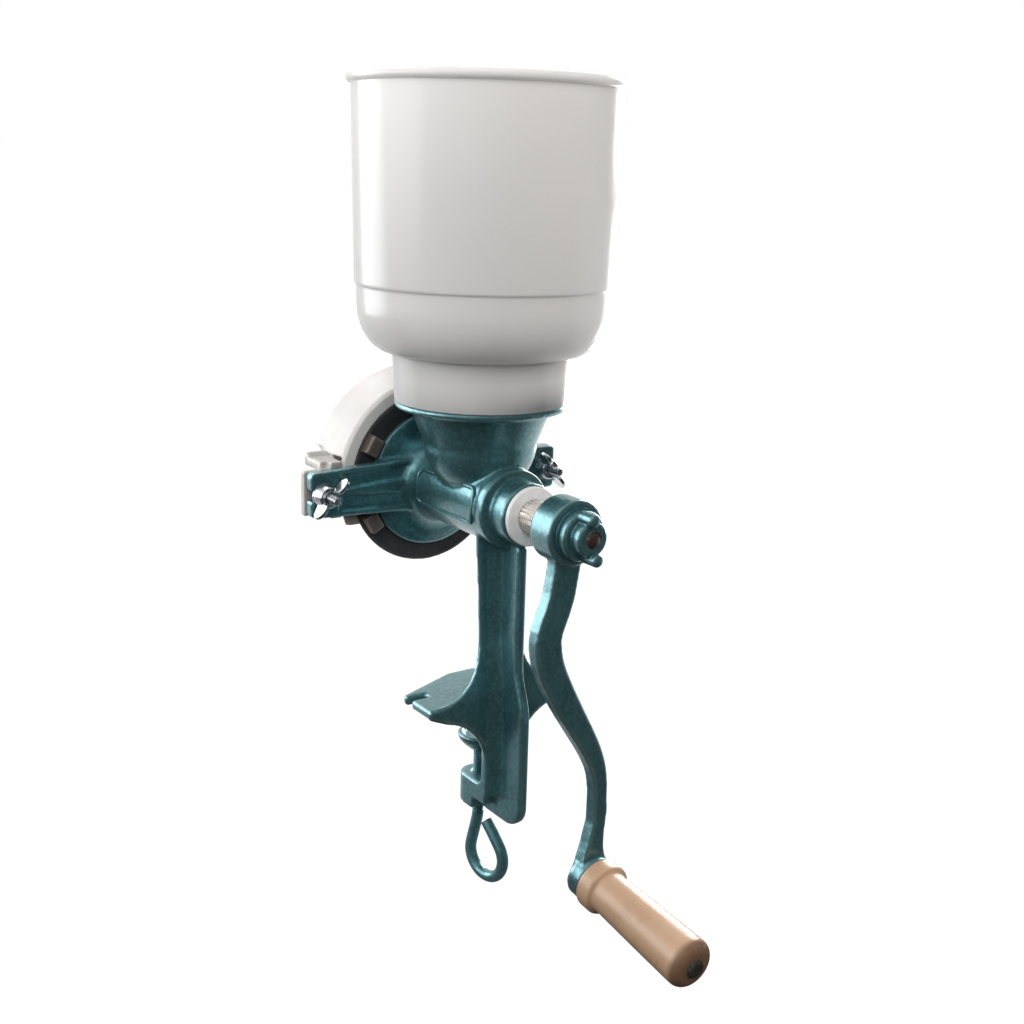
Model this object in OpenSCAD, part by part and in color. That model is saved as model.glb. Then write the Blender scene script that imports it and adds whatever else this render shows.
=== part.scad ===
// Table-clamped hand grain mill with a plastic hopper, a cast iron body and two grinding discs.
// The origin is on the clamp's upper jaw, straight above the clamp screw. +Z is up, the crank is at -Y.

/* [Placing] */
// Height of the shaft axis above the upper jaw
shaft_h = 134; // [115:1:170]
// Distance of the hopper axis behind the clamp screw axis
hopper_y = 8; // [2:1:14]

/* [Hopper] */
// Outer diameter over the rolled rim
rim_d = 172; // [166:1:190]
// Height from the lower edge of the neck to the rim
hopper_h = 198; // [150:1:240]
// Outer diameter of the wall at the step line
step_d = 162; // [150:1:166]
// Height of the step line above the lower edge of the neck
step_h = 73; // [66:1:90]
// How far the wall steps in below the step line
step_in = 1.4; // [0.8:0.1:2]
// Height of the straight band between the shoulder and the step line
shoulder_band = 11; // [8:1:14]
// Outer diameter of the neck at its lower edge
neck_d = 111; // [108:0.5:114]
// Height of the neck
neck_h = 31; // [24:1:36]
// How much wider the neck is at its top
neck_taper = 3; // [1:0.5:4]
// Wall thickness of the hopper
hopper_wall = 2.4; // [1.8:0.1:3]
// Diameter of the rolled bead round the rim
rim_bead = 6; // [5:0.5:8]

/* [Funnel] */
// Height of the funnel lip above the shaft axis
lip_h = 64; // [60:1:72]
// Outer diameter of the funnel lip
lip_d = 111.5; // [106:0.5:116]
// Thickness of the funnel lip
lip_t = 4.6; // [4:0.2:6]
// Outer diameter of the funnel just under the lip
funnel_top_d = 89; // [84:1:94]
// Outer diameter of the funnel at half height
funnel_mid_d = 74; // [70:1:78]
// Wall thickness of the funnel
funnel_wall = 5; // [4:0.5:6]
// Height of the spigot that locates the hopper neck
spigot_h = 8; // [5:1:12]
// Diameter of the throat that drops the grain on the worm
throat_d = 32; // [26:1:35]

/* [Barrel] */
// Outer diameter of the barrel
barrel_d = 50; // [48:1:54]
// Bore of the barrel round the worm
bore_d = 36; // [34:0.5:38]
// Distance from the hopper axis to the front of the collar
collar_front = 42; // [40:1:48]
// Outer diameter of the front collar
collar_d = 52; // [51:1:58]
// Length of the front collar
collar_len = 7; // [5:1:9]
// Outer diameter of the bearing boss in front of the collar
boss_d = 40.6; // [38:0.2:44]
// Length of the bearing boss
boss_len = 16; // [12:1:20]
// Distance from the hopper axis to the disc face of the flange
flange_back = 63; // [61:1:70]
// Outer diameter of the flange that backs the fixed disc
flange_d = 93; // [88:1:96]
// Thickness of the flange at its edge
flange_t = 5.5; // [4:0.5:7]

/* [Arms] */
// Distance of the studs outside the guard's edge
stud_clear = 19; // [17:0.5:24]
// Length of the arm beyond the stud
arm_tip = 9; // [8:0.5:12]
// Height of the arm at its tip
arm_tip_h = 30; // [26:1:32]
// Height of the arm at the barrel
arm_root_h = 36; // [34:1:40]
// Distance from the hopper axis to the front face of the arms
arm_front = 48; // [46:0.5:49]
// Thickness of the arms
arm_t = 8.5; // [7:0.5:9]
// Depth of the hollows in the arm's front face
arm_hollow = 2.4; // [1.5:0.1:3]
// Width of the rims round the hollows
arm_rim = 3; // [2:0.5:4]

/* [Column] */
// Width of the column at its waist
waist_w = 31.5; // [29:0.5:38]
// Width of the column at the barrel
column_top_w = 40; // [36:1:44]
// Thickness of the column plate
plate_t = 3.6; // [3:0.2:4.4]
// Depth of the thicker core behind the plate
core_deep = 2.4; // [1.6:0.2:3.4]
// Width of that core
core_w = 28; // [24:1:32]
// Distance of the plate's front face in front of the hopper axis
plate_front = 30; // [28:0.5:31]
// How much further forward the plate stands at the shelf
plate_lean = 5; // [4:0.5:6]
// How much the plate thickens towards the rib
plate_swell = 5; // [3:0.5:6]
// Height of the sweep from the column into the shelf
flare_r = 41; // [34:0.5:46]
// Thickness of the stiffening rib
rib_t = 7; // [5.6:0.2:8]
// How far the rib stands in front of the plate above the shelf
rib_upper = 22.5; // [18:0.5:26]
// How far the rib stands in front of the plate below the shelf
rib_lower = 26; // [22:1:32]

/* [Clamp] */
// Width of the shelf over its two ears
shelf_w = 112; // [106:1:124]
// Thickness of the shelf
shelf_t = 6; // [5:0.5:8]
// Reach of the shelf behind the clamp screw axis
shelf_reach = 27; // [24:1:32]
// Height from the shelf down to the clamp screw boss
throat_h = 58; // [54:1:70]
// Outer diameter of the clamp screw boss
screw_boss_d = 25; // [23:0.5:28]
// Height of the clamp screw boss
screw_boss_h = 21; // [18:1:26]
// Width of the strip that carries the screw boss
strip_w = 25; // [20:1:25]
// Diameter of the clamp screw
clamp_d = 8; // [7:0.5:9]
// Distance from the shelf to the clamp pad at rest
clamp_open = 29; // [26:0.5:34]
// Outer diameter of the clamp pad
pad_d = 30; // [26:0.5:32]
// Height of the clamp pad
pad_h = 12; // [10:0.5:13]
// Length of bare screw between the boss and the eye at rest
eye_drop = 10; // [8:0.5:12]
// Mean radius of the round part of the eye
eye_r = 16; // [14:0.2:17]
// Height of the eye from its neck to its lowest mean point
eye_h = 45; // [42:1:50]
// Turn of the eye about the screw at rest
eye_turn = -80; // [-90:1:90]
// Width of the open slots in the shelf's ears
ear_slot = 6; // [4.4:0.2:7]
// Length of the open slots in the shelf's ears
ear_slot_len = 14; // [10:1:16]

/* [Shaft] */
// Diameter of the shaft in the front bush
journal_d = 22; // [20:0.5:24]
// Side of the square that drives the crank
front_square = 15; // [13:0.5:15.5]
// Side of the square that drives the rotating disc
rear_square = 14; // [13:0.5:15]
// Diameter of the threaded front end
thread_d = 11; // [9:0.5:12]
// Diameter of the shaft inside the worm
core_d = 17.8; // [16:0.2:18.4]
// Outer diameter of the worm's sleeve
worm_sleeve_d = 24; // [22:0.5:25]
// Pitch of the worm
worm_pitch = 24; // [20:1:30]
// Thickness of the worm's flight
flight_t = 4; // [3:0.5:5]
// Clearance between the flight and the bore
flight_gap = 0.8; // [0.4:0.1:1.2]
// Bare shaft between the bush and the crank hub
shaft_bare = 24; // [20:1:30]
// Diameter of the pin that locks the rotating disc
drive_pin_d = 5; // [4:0.5:6]
// Diameter of the front bush's flange
bush_d = 37.8; // [36:0.2:40]
// Thickness of the front bush's flange
bush_flange = 3.6; // [2.5:0.1:5]
// Outer diameter of the front bush's sleeve
bush_sleeve_d = 30; // [27:0.5:32]

/* [Discs] */
// Outer diameter of the fixed disc
disc_d = 119; // [114:1:122]
// Thickness of the fixed disc
disc_t = 8; // [7:0.5:10]
// Outer diameter of the rotating disc
rotor_d = 104; // [98:1:108]
// Thickness of the rotating disc
rotor_t = 8; // [7:0.5:10]
// Gap between the discs at rest
disc_gap = 0.6; // [0.4:0.1:1.5]
// Number of furrows on each disc
furrows = 20; // [12:1:24]
// Depth of the furrows
furrow_deep = 1.8; // [1:0.1:2.4]
// Width of the furrows
furrow_w = 4; // [3:0.2:5]
// Width of the lugs along the rim
lug_w = 13; // [10:0.5:16]
// Height of the lugs in front of the disc
lug_h = 7; // [5:0.5:8]
// Angle of the lugs above and below the arms
lug_angle = 30; // [28:1:42]

/* [Guard] */
// Outer diameter of the guard
guard_d = 138; // [134:1:142]
// Diameter of the guard's rear edge
guard_rear_d = 149; // [146:1:154]
// Depth of the guard's hood behind the disc's front face
guard_deep = 30; // [24:1:34]
// Wall thickness of the guard
guard_wall = 2.4; // [1.8:0.1:3]
// Height above the shaft at which the hood is cut off
guard_cut = 23.5; // [23:0.5:28]
// How far below the shaft the guard's front band ends
band_end = 27; // [22:1:32]

/* [Bridge] */
// Height of the bridge above and below the shaft at its legs
bridge_half_h = 19; // [17:0.5:20]
// Thickness of the bridge's feet
foot_t = 5.4; // [4:0.2:7]
// Thickness of the bridge's webs
bridge_web = 9; // [8:0.5:10]
// Width of the flanges along the bridge's legs
bridge_flange_w = 15; // [13:0.5:18]
// Thickness of those flanges
bridge_flange_t = 6; // [4:0.5:7]
// Depth of those flanges behind the feet
bridge_flange_deep = 23; // [18:1:26]
// Diameter of the boss for the adjusting screw
adjust_boss_d = 36; // [30:1:40]
// Length of that boss behind the web
adjust_boss_len = 11; // [8:1:16]
// Diameter of the adjusting screw
adjust_d = 12; // [10:0.5:14]
// Diameter of the thrust ball
ball_d = 10; // [8:0.5:10.5]
// Thickness of the lock nut
lock_nut_t = 9; // [7:0.5:12]
// Width across the flats of the lock nut
lock_nut_w = 22; // [19:0.5:24]
// Width over the adjusting screw's thumb wings
thumb_w = 46; // [40:1:56]

/* [Studs] */
// Diameter of the studs
stud_d = 6; // [5:0.5:7]
// Length of stud in front of the arms
stud_out = 19.5; // [18:0.5:26]
// Width of the studs' square heads
stud_head_w = 10; // [9:0.5:12]
// Thickness of the studs' heads
stud_head_t = 4; // [3:0.5:5]
// Outer diameter of the washers
washer_d = 17; // [14:0.5:18]
// Thickness of the washers
washer_t = 1.4; // [1:0.1:2]
// Height of the wing nuts' round base
wing_base_h = 7.5; // [6:0.5:9]
// Diameter of the wing nuts' round base
wing_base_d = 16.5; // [14:0.5:17]
// Span over the wings
wing_span = 33; // [30:1:40]
// Turn of the left wing nut at rest
wing_turn_left = 45; // [0:1:90]
// Turn of the right wing nut at rest
wing_turn_right = -55; // [-90:1:0]

/* [Crank] */
// Distance from the shaft to the grip's pin
crank_r = 239.5; // [210:0.5:260]
// Angle at which the crank hangs at rest
crank_lean = 6.7; // [0:0.1:12]
// Outer diameter of the crank hub
hub_d = 41; // [38:0.5:44]
// Length of the crank hub
hub_len = 20.5; // [18:0.5:24]
// Width of the arm at the hub
arm_w_top = 19.5; // [17:0.5:22]
// Width of the arm near the grip
arm_w_low = 10.5; // [9:0.5:13]
// Thickness of the crank arm
crank_t = 9.5; // [8:0.5:11]
// How far the upper half of the arm bows to one side
bow_upper = 22.5; // [14:0.5:25]
// How far the lower half of the arm bows to the other side
bow_lower = 10.5; // [6:0.5:13]
// Diameter of the eye at the grip end of the arm
end_d = 31; // [28:0.5:34]
// Length of that eye along the pin
end_len = 11.5; // [10:0.5:14]
// Outer diameter of the washer under the claw nut
nut_washer_d = 33; // [30:0.5:36]
// Outer diameter of the claw nut's flange
nut_flange_d = 31; // [28:0.5:33]
// Thickness of the claw nut's flange
nut_flange_t = 6.5; // [5:0.5:8]
// Outer diameter of the claw nut's collar
nut_collar_d = 22; // [20:0.5:24]
// Length of the claw nut's collar
nut_collar_len = 8; // [6:0.5:9]
// Turn of the claw nut at rest
claw_turn = -8; // [-90:1:90]
// Diameter of the claws
claw_d = 8; // [7:0.5:9]
// Length of the claws in front of the flange
claw_len = 12.5; // [10:0.5:16]

/* [Grip] */
// Length of the grip
grip_len = 95; // [85:1:110]
// Diameter of the grip behind its end
grip_d = 32.4; // [29:0.2:33]
// Diameter of the grip at its collar
grip_neck_d = 27.8; // [25:0.2:29]
// Diameter of the grip's collar
grip_collar_d = 34.5; // [33:0.5:36]
// Length of the grip's collar
grip_collar_len = 12.5; // [9:0.5:14]
// Diameter of the grip's pin
grip_pin_d = 9; // [8:0.5:10]
// Diameter of the riveted head of the pin
rivet_d = 12.5; // [11:0.5:14]
// Droop of the grip and its pin below the shaft's direction
grip_droop = 7.5; // [0:0.5:8]

/* [Clearances] */
// Radial clearance of a turning fit
run_gap = 0.06; // [0.03:0.01:0.09]
// Clearance round a loose pin, stud or square
loose_gap = 0.3; // [0.2:0.05:0.4]
// Gap between faces that meet
face_gap = 0.05; // [0.02:0.01:0.1]

/* [Hidden] */
$fn = 64;
eps = 0.01;

// Stations along the shaft, measured from the hopper axis, front to rear
boss_front = -(collar_front + boss_len);
bush_face = boss_front - bush_flange;
hub_back = bush_face - shaft_bare;
hub_front = hub_back - hub_len;
nut_seat = hub_front - face_gap - washer_t;
arm_back = -arm_front;
disc_back = flange_back + disc_t;
rotor_front = disc_back + disc_gap;
rotor_back = rotor_front + rotor_t;
rotor_hub_len = 6;
shaft_end = rotor_back + rotor_hub_len + 6;
ball_room = 0.15;
web_front = shaft_end + ball_d / 2 + 2;
web_back = web_front + bridge_web;
foot_front = arm_front + arm_t + face_gap;
foot_back = foot_front + foot_t;
// Heights measured from the shaft axis
jaw = -shaft_h;
shelf_top = jaw + shelf_t;
screw_boss_top = jaw - throat_h;
screw_boss_low = screw_boss_top - screw_boss_h;
pad_top = jaw - clamp_open;
// Where the column's plate leans out to the shelf
frame_front = plate_front + plate_lean;
lean_top = shelf_top + 40;
lean_low = shelf_top + 4;
// Places across the mill
stud_x = guard_d / 2 + stud_clear;
tip_x = stud_x + arm_tip;
screw_y = -hopper_y;
slot_w = stud_d + 2 * loose_gap;
lip_in_r = funnel_top_d / 2 - funnel_wall;
spigot_r = neck_d / 2 - hopper_wall - loose_gap;
leg_in = guard_d / 2 + 0.6;
leg_out = leg_in + bridge_web;

function arc(cx, cy, r, a0, a1, n = 8) =
    [for (i = [0:n]) let (a = a0 + (a1 - a0) * i / n) [cx + r * cos(a), cy + r * sin(a)]];

function oval(cx, cy, rx, ry, a0, a1, n = 8) =
    [for (i = [0:n]) let (a = a0 + (a1 - a0) * i / n) [cx + rx * cos(a), cy + ry * sin(a)]];

function both_sides(half) = concat(half, [for (i = [len(half) - 1:-1:0]) [-half[i][0], half[i][1]]]);

module on_shaft() {
    translate([0, hopper_y, shaft_h])
        children();
}

// Rod along Y from one station to another
module rod_y(y0, y1, d) {
    translate([0, y0, 0])
        rotate([-90, 0, 0])
            cylinder(h = y1 - y0, d = d);
}

// Solid of revolution about the shaft from points of radius and station
module turned(points) {
    rotate([-90, 0, 0])
        rotate_extrude()
            polygon(points);
}

// Plate that stands across the shaft, drawn in X and Z
module plate_across(y0, y1) {
    translate([0, y1, 0])
        rotate([90, 0, 0])
            linear_extrude(y1 - y0)
                children();
}

// Plate that stands along the shaft, drawn in Y and Z
module plate_along(w) {
    translate([-w / 2, 0, 0])
        rotate([90, 0, 90])
            linear_extrude(w)
                children();
}

module square_y(y0, y1, side) {
    translate([-side / 2, y0, -side / 2])
        cube([side, y1 - y0, side]);
}

// The casting, built up from its funnel, barrel, arms, column and clamp frame

funnel_low_z = 9;

module funnel_outside() {
    lip_r = lip_d / 2;
    top_r = funnel_top_d / 2;
    mid_r = funnel_mid_d / 2;
    under_lip = lip_h - lip_t;
    fillet = 4;
    rotate_extrude()
        polygon(concat(
            [[0, funnel_low_z], [barrel_d / 2 - 10, funnel_low_z]],
            oval(barrel_d / 2 - 9, 37, mid_r - barrel_d / 2 + 9, 37 - funnel_low_z, -80, 0, 8),
            arc(top_r + fillet, under_lip - fillet, fillet, 160, 90, 4),
            arc(lip_r - lip_t / 2, lip_h - lip_t / 2, lip_t / 2, -90, 90, 6),
            [[0, lip_h]]));
    translate([0, 0, lip_h - eps])
        cylinder(h = spigot_h + eps, r = spigot_r);
}

module funnel_inside() {
    spigot_in = spigot_r - 3;
    mid_in = funnel_mid_d / 2 - funnel_wall;
    rotate_extrude()
        polygon([[0, -2], [throat_d / 2, -2], [throat_d / 2, 14], [mid_in, 32], [lip_in_r, lip_h - 10],
            [spigot_in, lip_h + 2], [spigot_in, lip_h + spigot_h + 1], [0, lip_h + spigot_h + 1]]);
}

module barrel_outside() {
    barrel_r = barrel_d / 2;
    flange_r = flange_d / 2;
    flange_front = flange_back - flange_t;
    bell = 17;
    turned(concat(
        [[0, boss_front], [boss_d / 2 - 1, boss_front], [boss_d / 2, boss_front + 1],
            [boss_d / 2, -collar_front], [collar_d / 2 - 1, -collar_front],
            [collar_d / 2, -collar_front + 1], [collar_d / 2, -collar_front + collar_len],
            [barrel_r, -collar_front + collar_len + 2]],
        arc(barrel_r + bell, flange_front - bell - 2, bell, 180, 97, 6),
        [[flange_r, flange_front], [flange_r, flange_back], [0, flange_back]]));
}

module arm() {
    root = barrel_d / 2 - 8;
    hollow_from = barrel_d / 2 - 1;
    hollow_to = stud_x - washer_d / 2 - 3;
    root_half = arm_root_h / 2;
    tip_half = arm_tip_h / 2;
    rib_root = 5;
    rib_tip = 1.6;
    difference() {
        union() {
            plate_across(arm_front, arm_front + arm_t)
                polygon([[root, root_half], [tip_x - 2, tip_half], [tip_x, tip_half - 2],
                    [tip_x, -tip_half + 2], [tip_x - 2, -tip_half], [root, -root_half]]);
            translate([root, arm_front + arm_t - 1, -tip_half + 2])
                cube([flange_d / 2 - 5 - root, flange_back - 2 - arm_front - arm_t, arm_tip_h - 4]);
        }
        for (side = [-1, 1])
            plate_across(arm_front - 1, arm_front + arm_hollow)
                polygon([[hollow_from, side * (root_half - arm_rim - 0.4)],
                    [hollow_to, side * (tip_half - arm_rim + 0.6)], [hollow_to, side * rib_tip],
                    [hollow_from, side * rib_root]]);
        translate([stud_x, arm_front - 1, -slot_w / 2])
            cube([arm_tip + 1, arm_t + 2, slot_w]);
        translate([stud_x, 0, 0])
            rod_y(arm_front - 1, arm_front + arm_t + 1, slot_w);
    }
}

// Line of the plate's face in Y and Z, from the barrel down to the screw boss
lean_line = concat([[-plate_front, 0]],
    [for (i = [0:8])
        [-plate_front - plate_lean * (1 - cos(22.5 * i)) / 2, lean_top + (lean_low - lean_top) * i / 8]],
    [[-frame_front, screw_boss_top - 7]]);

// A band of that line between two depths behind the face
function plate_band(from, to) =
    concat([for (p = lean_line) p + [from, 0]],
        [for (i = [len(lean_line) - 1:-1:0]) lean_line[i] + [to, 0]]);

// Thickening of the plate's face towards the rib, between two points of its line
module plate_root(low, high) {
    run = high - low;
    half = rib_t / 2;
    wide = strip_w / 2 - 0.5;
    translate([0, low[0], low[1]])
        rotate([-asin(run[0] / norm(run)), 0, 0])
            linear_extrude(norm(run))
                polygon(both_sides([[wide, 0.8], [wide, 0.1], [half, -plate_swell]]));
}

// Front plate of the column, waisted above the shelf, leaning out to it and drawn in below it
module column_plate() {
    waist = waist_w / 2;
    ear = shelf_w / 2;
    sweep = ear - 6 - waist;
    under_r = 37;
    tail = strip_w / 2;
    intersection() {
        plate_across(-frame_front - 1, 0)
            polygon(both_sides(concat(
                [[column_top_w / 2, -8], [column_top_w / 2 - 1, -28], [waist + 1, -60]],
                oval(waist + sweep, shelf_top + flare_r, sweep, flare_r, 180, 270),
                [[ear, shelf_top], [ear, jaw]],
                arc(tail + under_r, jaw - 5 - under_r, under_r, 100, 180),
                [[tail, screw_boss_top - 6]])));
        plate_along(2 * shelf_w)
            polygon(plate_band(0, plate_t));
    }
    intersection() {
        plate_along(core_w)
            polygon(plate_band(plate_t - 1, plate_t + core_deep));
        translate([-core_w, -frame_front, jaw + 1])
            cube([2 * core_w, frame_front, -jaw - 20]);
    }
}

module rib() {
    upper = -plate_front - rib_upper;
    lower = -frame_front - rib_lower;
    root = -plate_front + plate_t / 2;
    root_low = root - plate_lean;
    corner = 15;
    low = screw_boss_top - 22.3;
    low_end = screw_y - screw_boss_d / 2;
    swell_top = shelf_top + 26;
    swell_h = 34;
    swell = [for (i = [0:8])
        [upper + (lower - upper) * (1 - cos(22.5 * i)) / 2, swell_top - swell_h * i / 8]];
    plate_root([-plate_front, lean_top], [-plate_front, -20]);
    plate_root([-frame_front, lean_low], [-plate_front, lean_top]);
    plate_root([-frame_front, screw_boss_top - 6], [-frame_front, lean_low + 0.7]);
    plate_along(rib_t)
        polygon(concat(
            [[root, -10], [upper + 6, -18], [upper, -24]],
            swell,
            arc(lower + corner, low + corner, corner, 180, 270),
            [[low_end, low], [low_end, screw_boss_top - 8], [root_low, screw_boss_top - 8],
                [root_low, lean_low], [root, lean_top]]));
}

module shelf() {
    ear = shelf_w / 2;
    front = -frame_front;
    end_front = front + 2.5;
    end_back = screw_y + 9;
    back = screw_y + shelf_reach;
    slot_y = end_back - 5.4 - ear_slot / 2;
    corner = 3;
    difference() {
        translate([0, 0, jaw])
            linear_extrude(shelf_t)
                polygon(both_sides(concat(
                    [[0, back], [10, back]],
                    arc(ear - corner, end_back - corner, corner, 60, 0, 4),
                    arc(ear - corner, end_front + corner, corner, 0, -90, 4),
                    [[0, front]])));
        for (side = [0, 1])
            mirror([side, 0, 0])
                translate([ear - ear_slot_len, slot_y - ear_slot / 2, jaw - 1])
                    cube([ear_slot_len + 2, ear_slot, shelf_t + 2]);
    }
}

// Strip that follows the throat and turns back under it to carry the screw boss
module clamp_frame() {
    front = -frame_front + 1;
    back = -frame_front + plate_t + core_deep;
    turn = 7;
    reach = screw_y - 2;
    plate_along(strip_w)
        polygon(concat(
            [[front, jaw + 1], [back, jaw + 1]],
            arc(back + turn, screw_boss_top + turn, turn, 180, 270, 5),
            [[reach, screw_boss_top], [reach, screw_boss_top - 13], [front, screw_boss_top - 13]]));
    translate([0, screw_y, screw_boss_low])
        cylinder(h = screw_boss_h, d = screw_boss_d);
    translate([-screw_boss_d / 2, screw_y - 11, screw_boss_low])
        cube([screw_boss_d, 11, screw_boss_h]);
}

module mill_body() {
    on_shaft()
        color("#2f6f70")
            difference() {
                union() {
                    funnel_outside();
                    barrel_outside();
                    arm();
                    mirror([1, 0, 0])
                        arm();
                    column_plate();
                    rib();
                    shelf();
                    clamp_frame();
                }
                funnel_inside();
                rod_y(-collar_front + 14, flange_back + 1, bore_d);
                rod_y(boss_front - 1, -collar_front + 15, bush_sleeve_d + 2 * face_gap);
                translate([0, screw_y, screw_boss_low - 1])
                    cylinder(h = screw_boss_h + 2, d = clamp_d + 2 * run_gap);
            }
}

// Hopper: a thin moulded shell on the funnel lip, with a stepped wall and a rolled rim

function hopper_profile(inset) =
    let (neck = neck_d / 2 - inset, step = step_d / 2 - inset, rim = rim_d / 2 - inset)
    let (foot = neck + neck_taper / 2 + 1.5, band = step_h - shoulder_band)
    concat(
        [[neck, 0], [neck + neck_taper / 2, neck_h + inset]],
        oval(foot, band, step - step_in - foot, band - neck_h - inset, -90, 0, 9),
        [[step - step_in, step_h], [step, step_h + 0.8], [rim - rim_bead / 2, hopper_h - rim_bead / 2]]);

module hopper() {
    outside = hopper_profile(0);
    inside = hopper_profile(hopper_wall);
    on_shaft()
        color("#f1efea")
            translate([0, 0, lip_h + face_gap])
                rotate_extrude() {
                    polygon(concat(outside, [for (i = [len(inside) - 1:-1:0]) inside[i]]));
                    translate([rim_d / 2 - rim_bead / 2, hopper_h - rim_bead / 2])
                        circle(d = rim_bead);
                }
}

// Shaft train: bush, shaft, worm, pin and rotating disc

module front_bush() {
    on_shaft()
        color("#f4f2ee")
            difference() {
                turned([[0, bush_face], [bush_d / 2 - 0.8, bush_face], [bush_d / 2, bush_face + 0.8],
                    [bush_d / 2, boss_front - face_gap], [bush_sleeve_d / 2, boss_front - face_gap],
                    [bush_sleeve_d / 2, -collar_front + 13.5], [0, -collar_front + 13.5]]);
                rod_y(bush_face - 1, -collar_front + 20, journal_d + 2 * run_gap);
            }
}

worm_front = -collar_front + 16;
worm_back = flange_back - 2;
pin_y = rotor_back + rotor_hub_len / 2;
thread_front = hub_front - 17.5;

module drive_shaft() {
    on_shaft()
        color("#c9b8a6")
            difference() {
                union() {
                    turned([[0, thread_front], [thread_d / 2 - 1, thread_front],
                        [thread_d / 2, thread_front + 1], [thread_d / 2, hub_front + 0.5],
                        [0, hub_front + 0.5]]);
                    square_y(hub_front, hub_back + 1, front_square);
                    rod_y(hub_back + face_gap, worm_front - 1, journal_d);
                    rod_y(worm_front - 2, worm_back + 1, core_d);
                    square_y(worm_back, shaft_end, rear_square);
                }
                rod_y(shaft_end - ball_d / 2 - ball_room, shaft_end + 1, ball_d + 2 * ball_room);
                translate([0, pin_y, -rear_square])
                    cylinder(h = 2 * rear_square, d = drive_pin_d + 2 * face_gap);
            }
}

// Left-handed flight, so that turning the crank clockwise drives the grain to the discs
module worm_flight() {
    steps_per_turn = 24;
    inner = worm_sleeve_d / 2 - 1;
    outer = bore_d / 2 - flight_gap;
    length = worm_back - worm_front - flight_t - 1;
    steps = floor(length / worm_pitch * steps_per_turn);
    first = worm_front + flight_t / 2 + 0.5;
    section = [[inner, -0.5], [outer, -0.32], [outer, 0.32], [inner, 0.5]];
    points = [for (i = [0:steps], corner = section)
        let (a = i * 360 / steps_per_turn, y = first + worm_pitch * i / steps_per_turn)
        [corner[0] * cos(a), y + corner[1] * flight_t, corner[0] * sin(a)]];
    sides = [for (i = [0:steps - 1], k = [0:3])
        let (p = 4 * i + k, q = 4 * i + (k + 1) % 4)
        each [[q, p, q + 4], [q + 4, p, p + 4]]];
    last = 4 * steps;
    caps = [[0, 1, 2], [0, 2, 3], [last + 2, last + 1, last], [last + 3, last + 2, last]];
    polyhedron(points, concat(sides, caps));
}

module feed_worm() {
    on_shaft()
        color("#8f8b85") {
            difference() {
                rod_y(worm_front, worm_back - face_gap, worm_sleeve_d);
                rod_y(worm_front - 1, worm_back + 1, core_d + 2 * face_gap);
            }
            worm_flight();
        }
}

module drive_pin() {
    reach = rear_square / 2 + 5;
    on_shaft()
        color("#b9b9b7")
            translate([0, pin_y, -reach])
                cylinder(h = 2 * reach, d = drive_pin_d);
}

module furrow_cuts(face, deep, inner, outer) {
    for (i = [0:furrows - 1])
        rotate([0, i * 360 / furrows, 0])
            translate([inner, min(face, face + deep), -furrow_w / 2])
                cube([outer - inner + 2, abs(deep), furrow_w]);
}

module fixed_disc() {
    lug_in = flange_d / 2 + 0.8;
    lug_out = disc_d / 2 - 2.5;
    rim_draft = 3;
    on_shaft()
        color("#35343a")
            difference() {
                union() {
                    turned([[0, flange_back + face_gap], [disc_d / 2 - 1, flange_back + face_gap],
                        [disc_d / 2, flange_back + 1], [disc_d / 2, flange_back + 2.5],
                        [disc_d / 2 - rim_draft, disc_back], [0, disc_back]]);
                    for (a = [lug_angle, 180 - lug_angle, 180 + lug_angle, -lug_angle])
                        rotate([0, -a, 0])
                            translate([lug_in, flange_back - lug_h, -lug_w / 2])
                                cube([lug_out - lug_in, lug_h + 2, lug_w]);
                }
                rod_y(flange_back - 1, disc_back + 1, bore_d + 1);
                furrow_cuts(disc_back + eps, -furrow_deep, bore_d / 2 + 6, disc_d / 2);
            }
}

module rotating_disc() {
    hub_r = rear_square / 2 + 8;
    hub_end = rotor_back + rotor_hub_len;
    on_shaft()
        color("#4a484b")
            difference() {
                turned([[0, rotor_front], [rotor_d / 2 - 1, rotor_front], [rotor_d / 2, rotor_front + 1],
                    [rotor_d / 2, rotor_back - 3], [rotor_d / 2 - 3, rotor_back], [hub_r, rotor_back],
                    [hub_r, hub_end], [0, hub_end]]);
                square_y(rotor_front - 1, hub_end + 1, rear_square + 2 * face_gap);
                furrow_cuts(rotor_front - eps, furrow_deep, rear_square / 2 + 12, rotor_d / 2);
                translate([0, pin_y, -hub_r - 1])
                    cylinder(h = 2 * hub_r + 2, d = drive_pin_d + 2 * face_gap);
            }
}

module thrust_ball() {
    on_shaft()
        color("#d5d6d8")
            translate([0, shaft_end, 0])
                sphere(d = ball_d);
}

// Guard: a hood over the discs whose front band is pushed over the fixed disc's rim

module guard() {
    outer = guard_d / 2;
    wide_r = guard_rear_d / 2;
    back = flange_back + 2;
    front = back - guard_wall;
    rear = flange_back + guard_deep;
    inner = disc_d / 2 + face_gap;
    wide = guard_rear_d + 10;
    between_legs = leg_in - 0.7;
    over_bow = bridge_half_h + 0.8;
    on_shaft()
        color("#f2f1ee")
            difference() {
                turned([[inner, front], [outer - 2, front], [outer, front + 2], [wide_r, rear],
                    [wide_r - guard_wall, rear], [outer - guard_wall, back + 0.6], [inner, back]]);
                translate([-wide / 2, back + 0.01, -wide])
                    cube([wide, guard_deep + 2, wide + over_bow]);
                for (side = [0, 1])
                    mirror([side, 0, 0])
                        translate([between_legs, back + 0.01, 0])
                            cube([wide, guard_deep + 2, guard_cut]);
                translate([-wide / 2, front - 1, -wide])
                    cube([wide, guard_deep, wide - band_end]);
            }
}

// Bridge: a bow behind the discs that carries the adjusting screw

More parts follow.
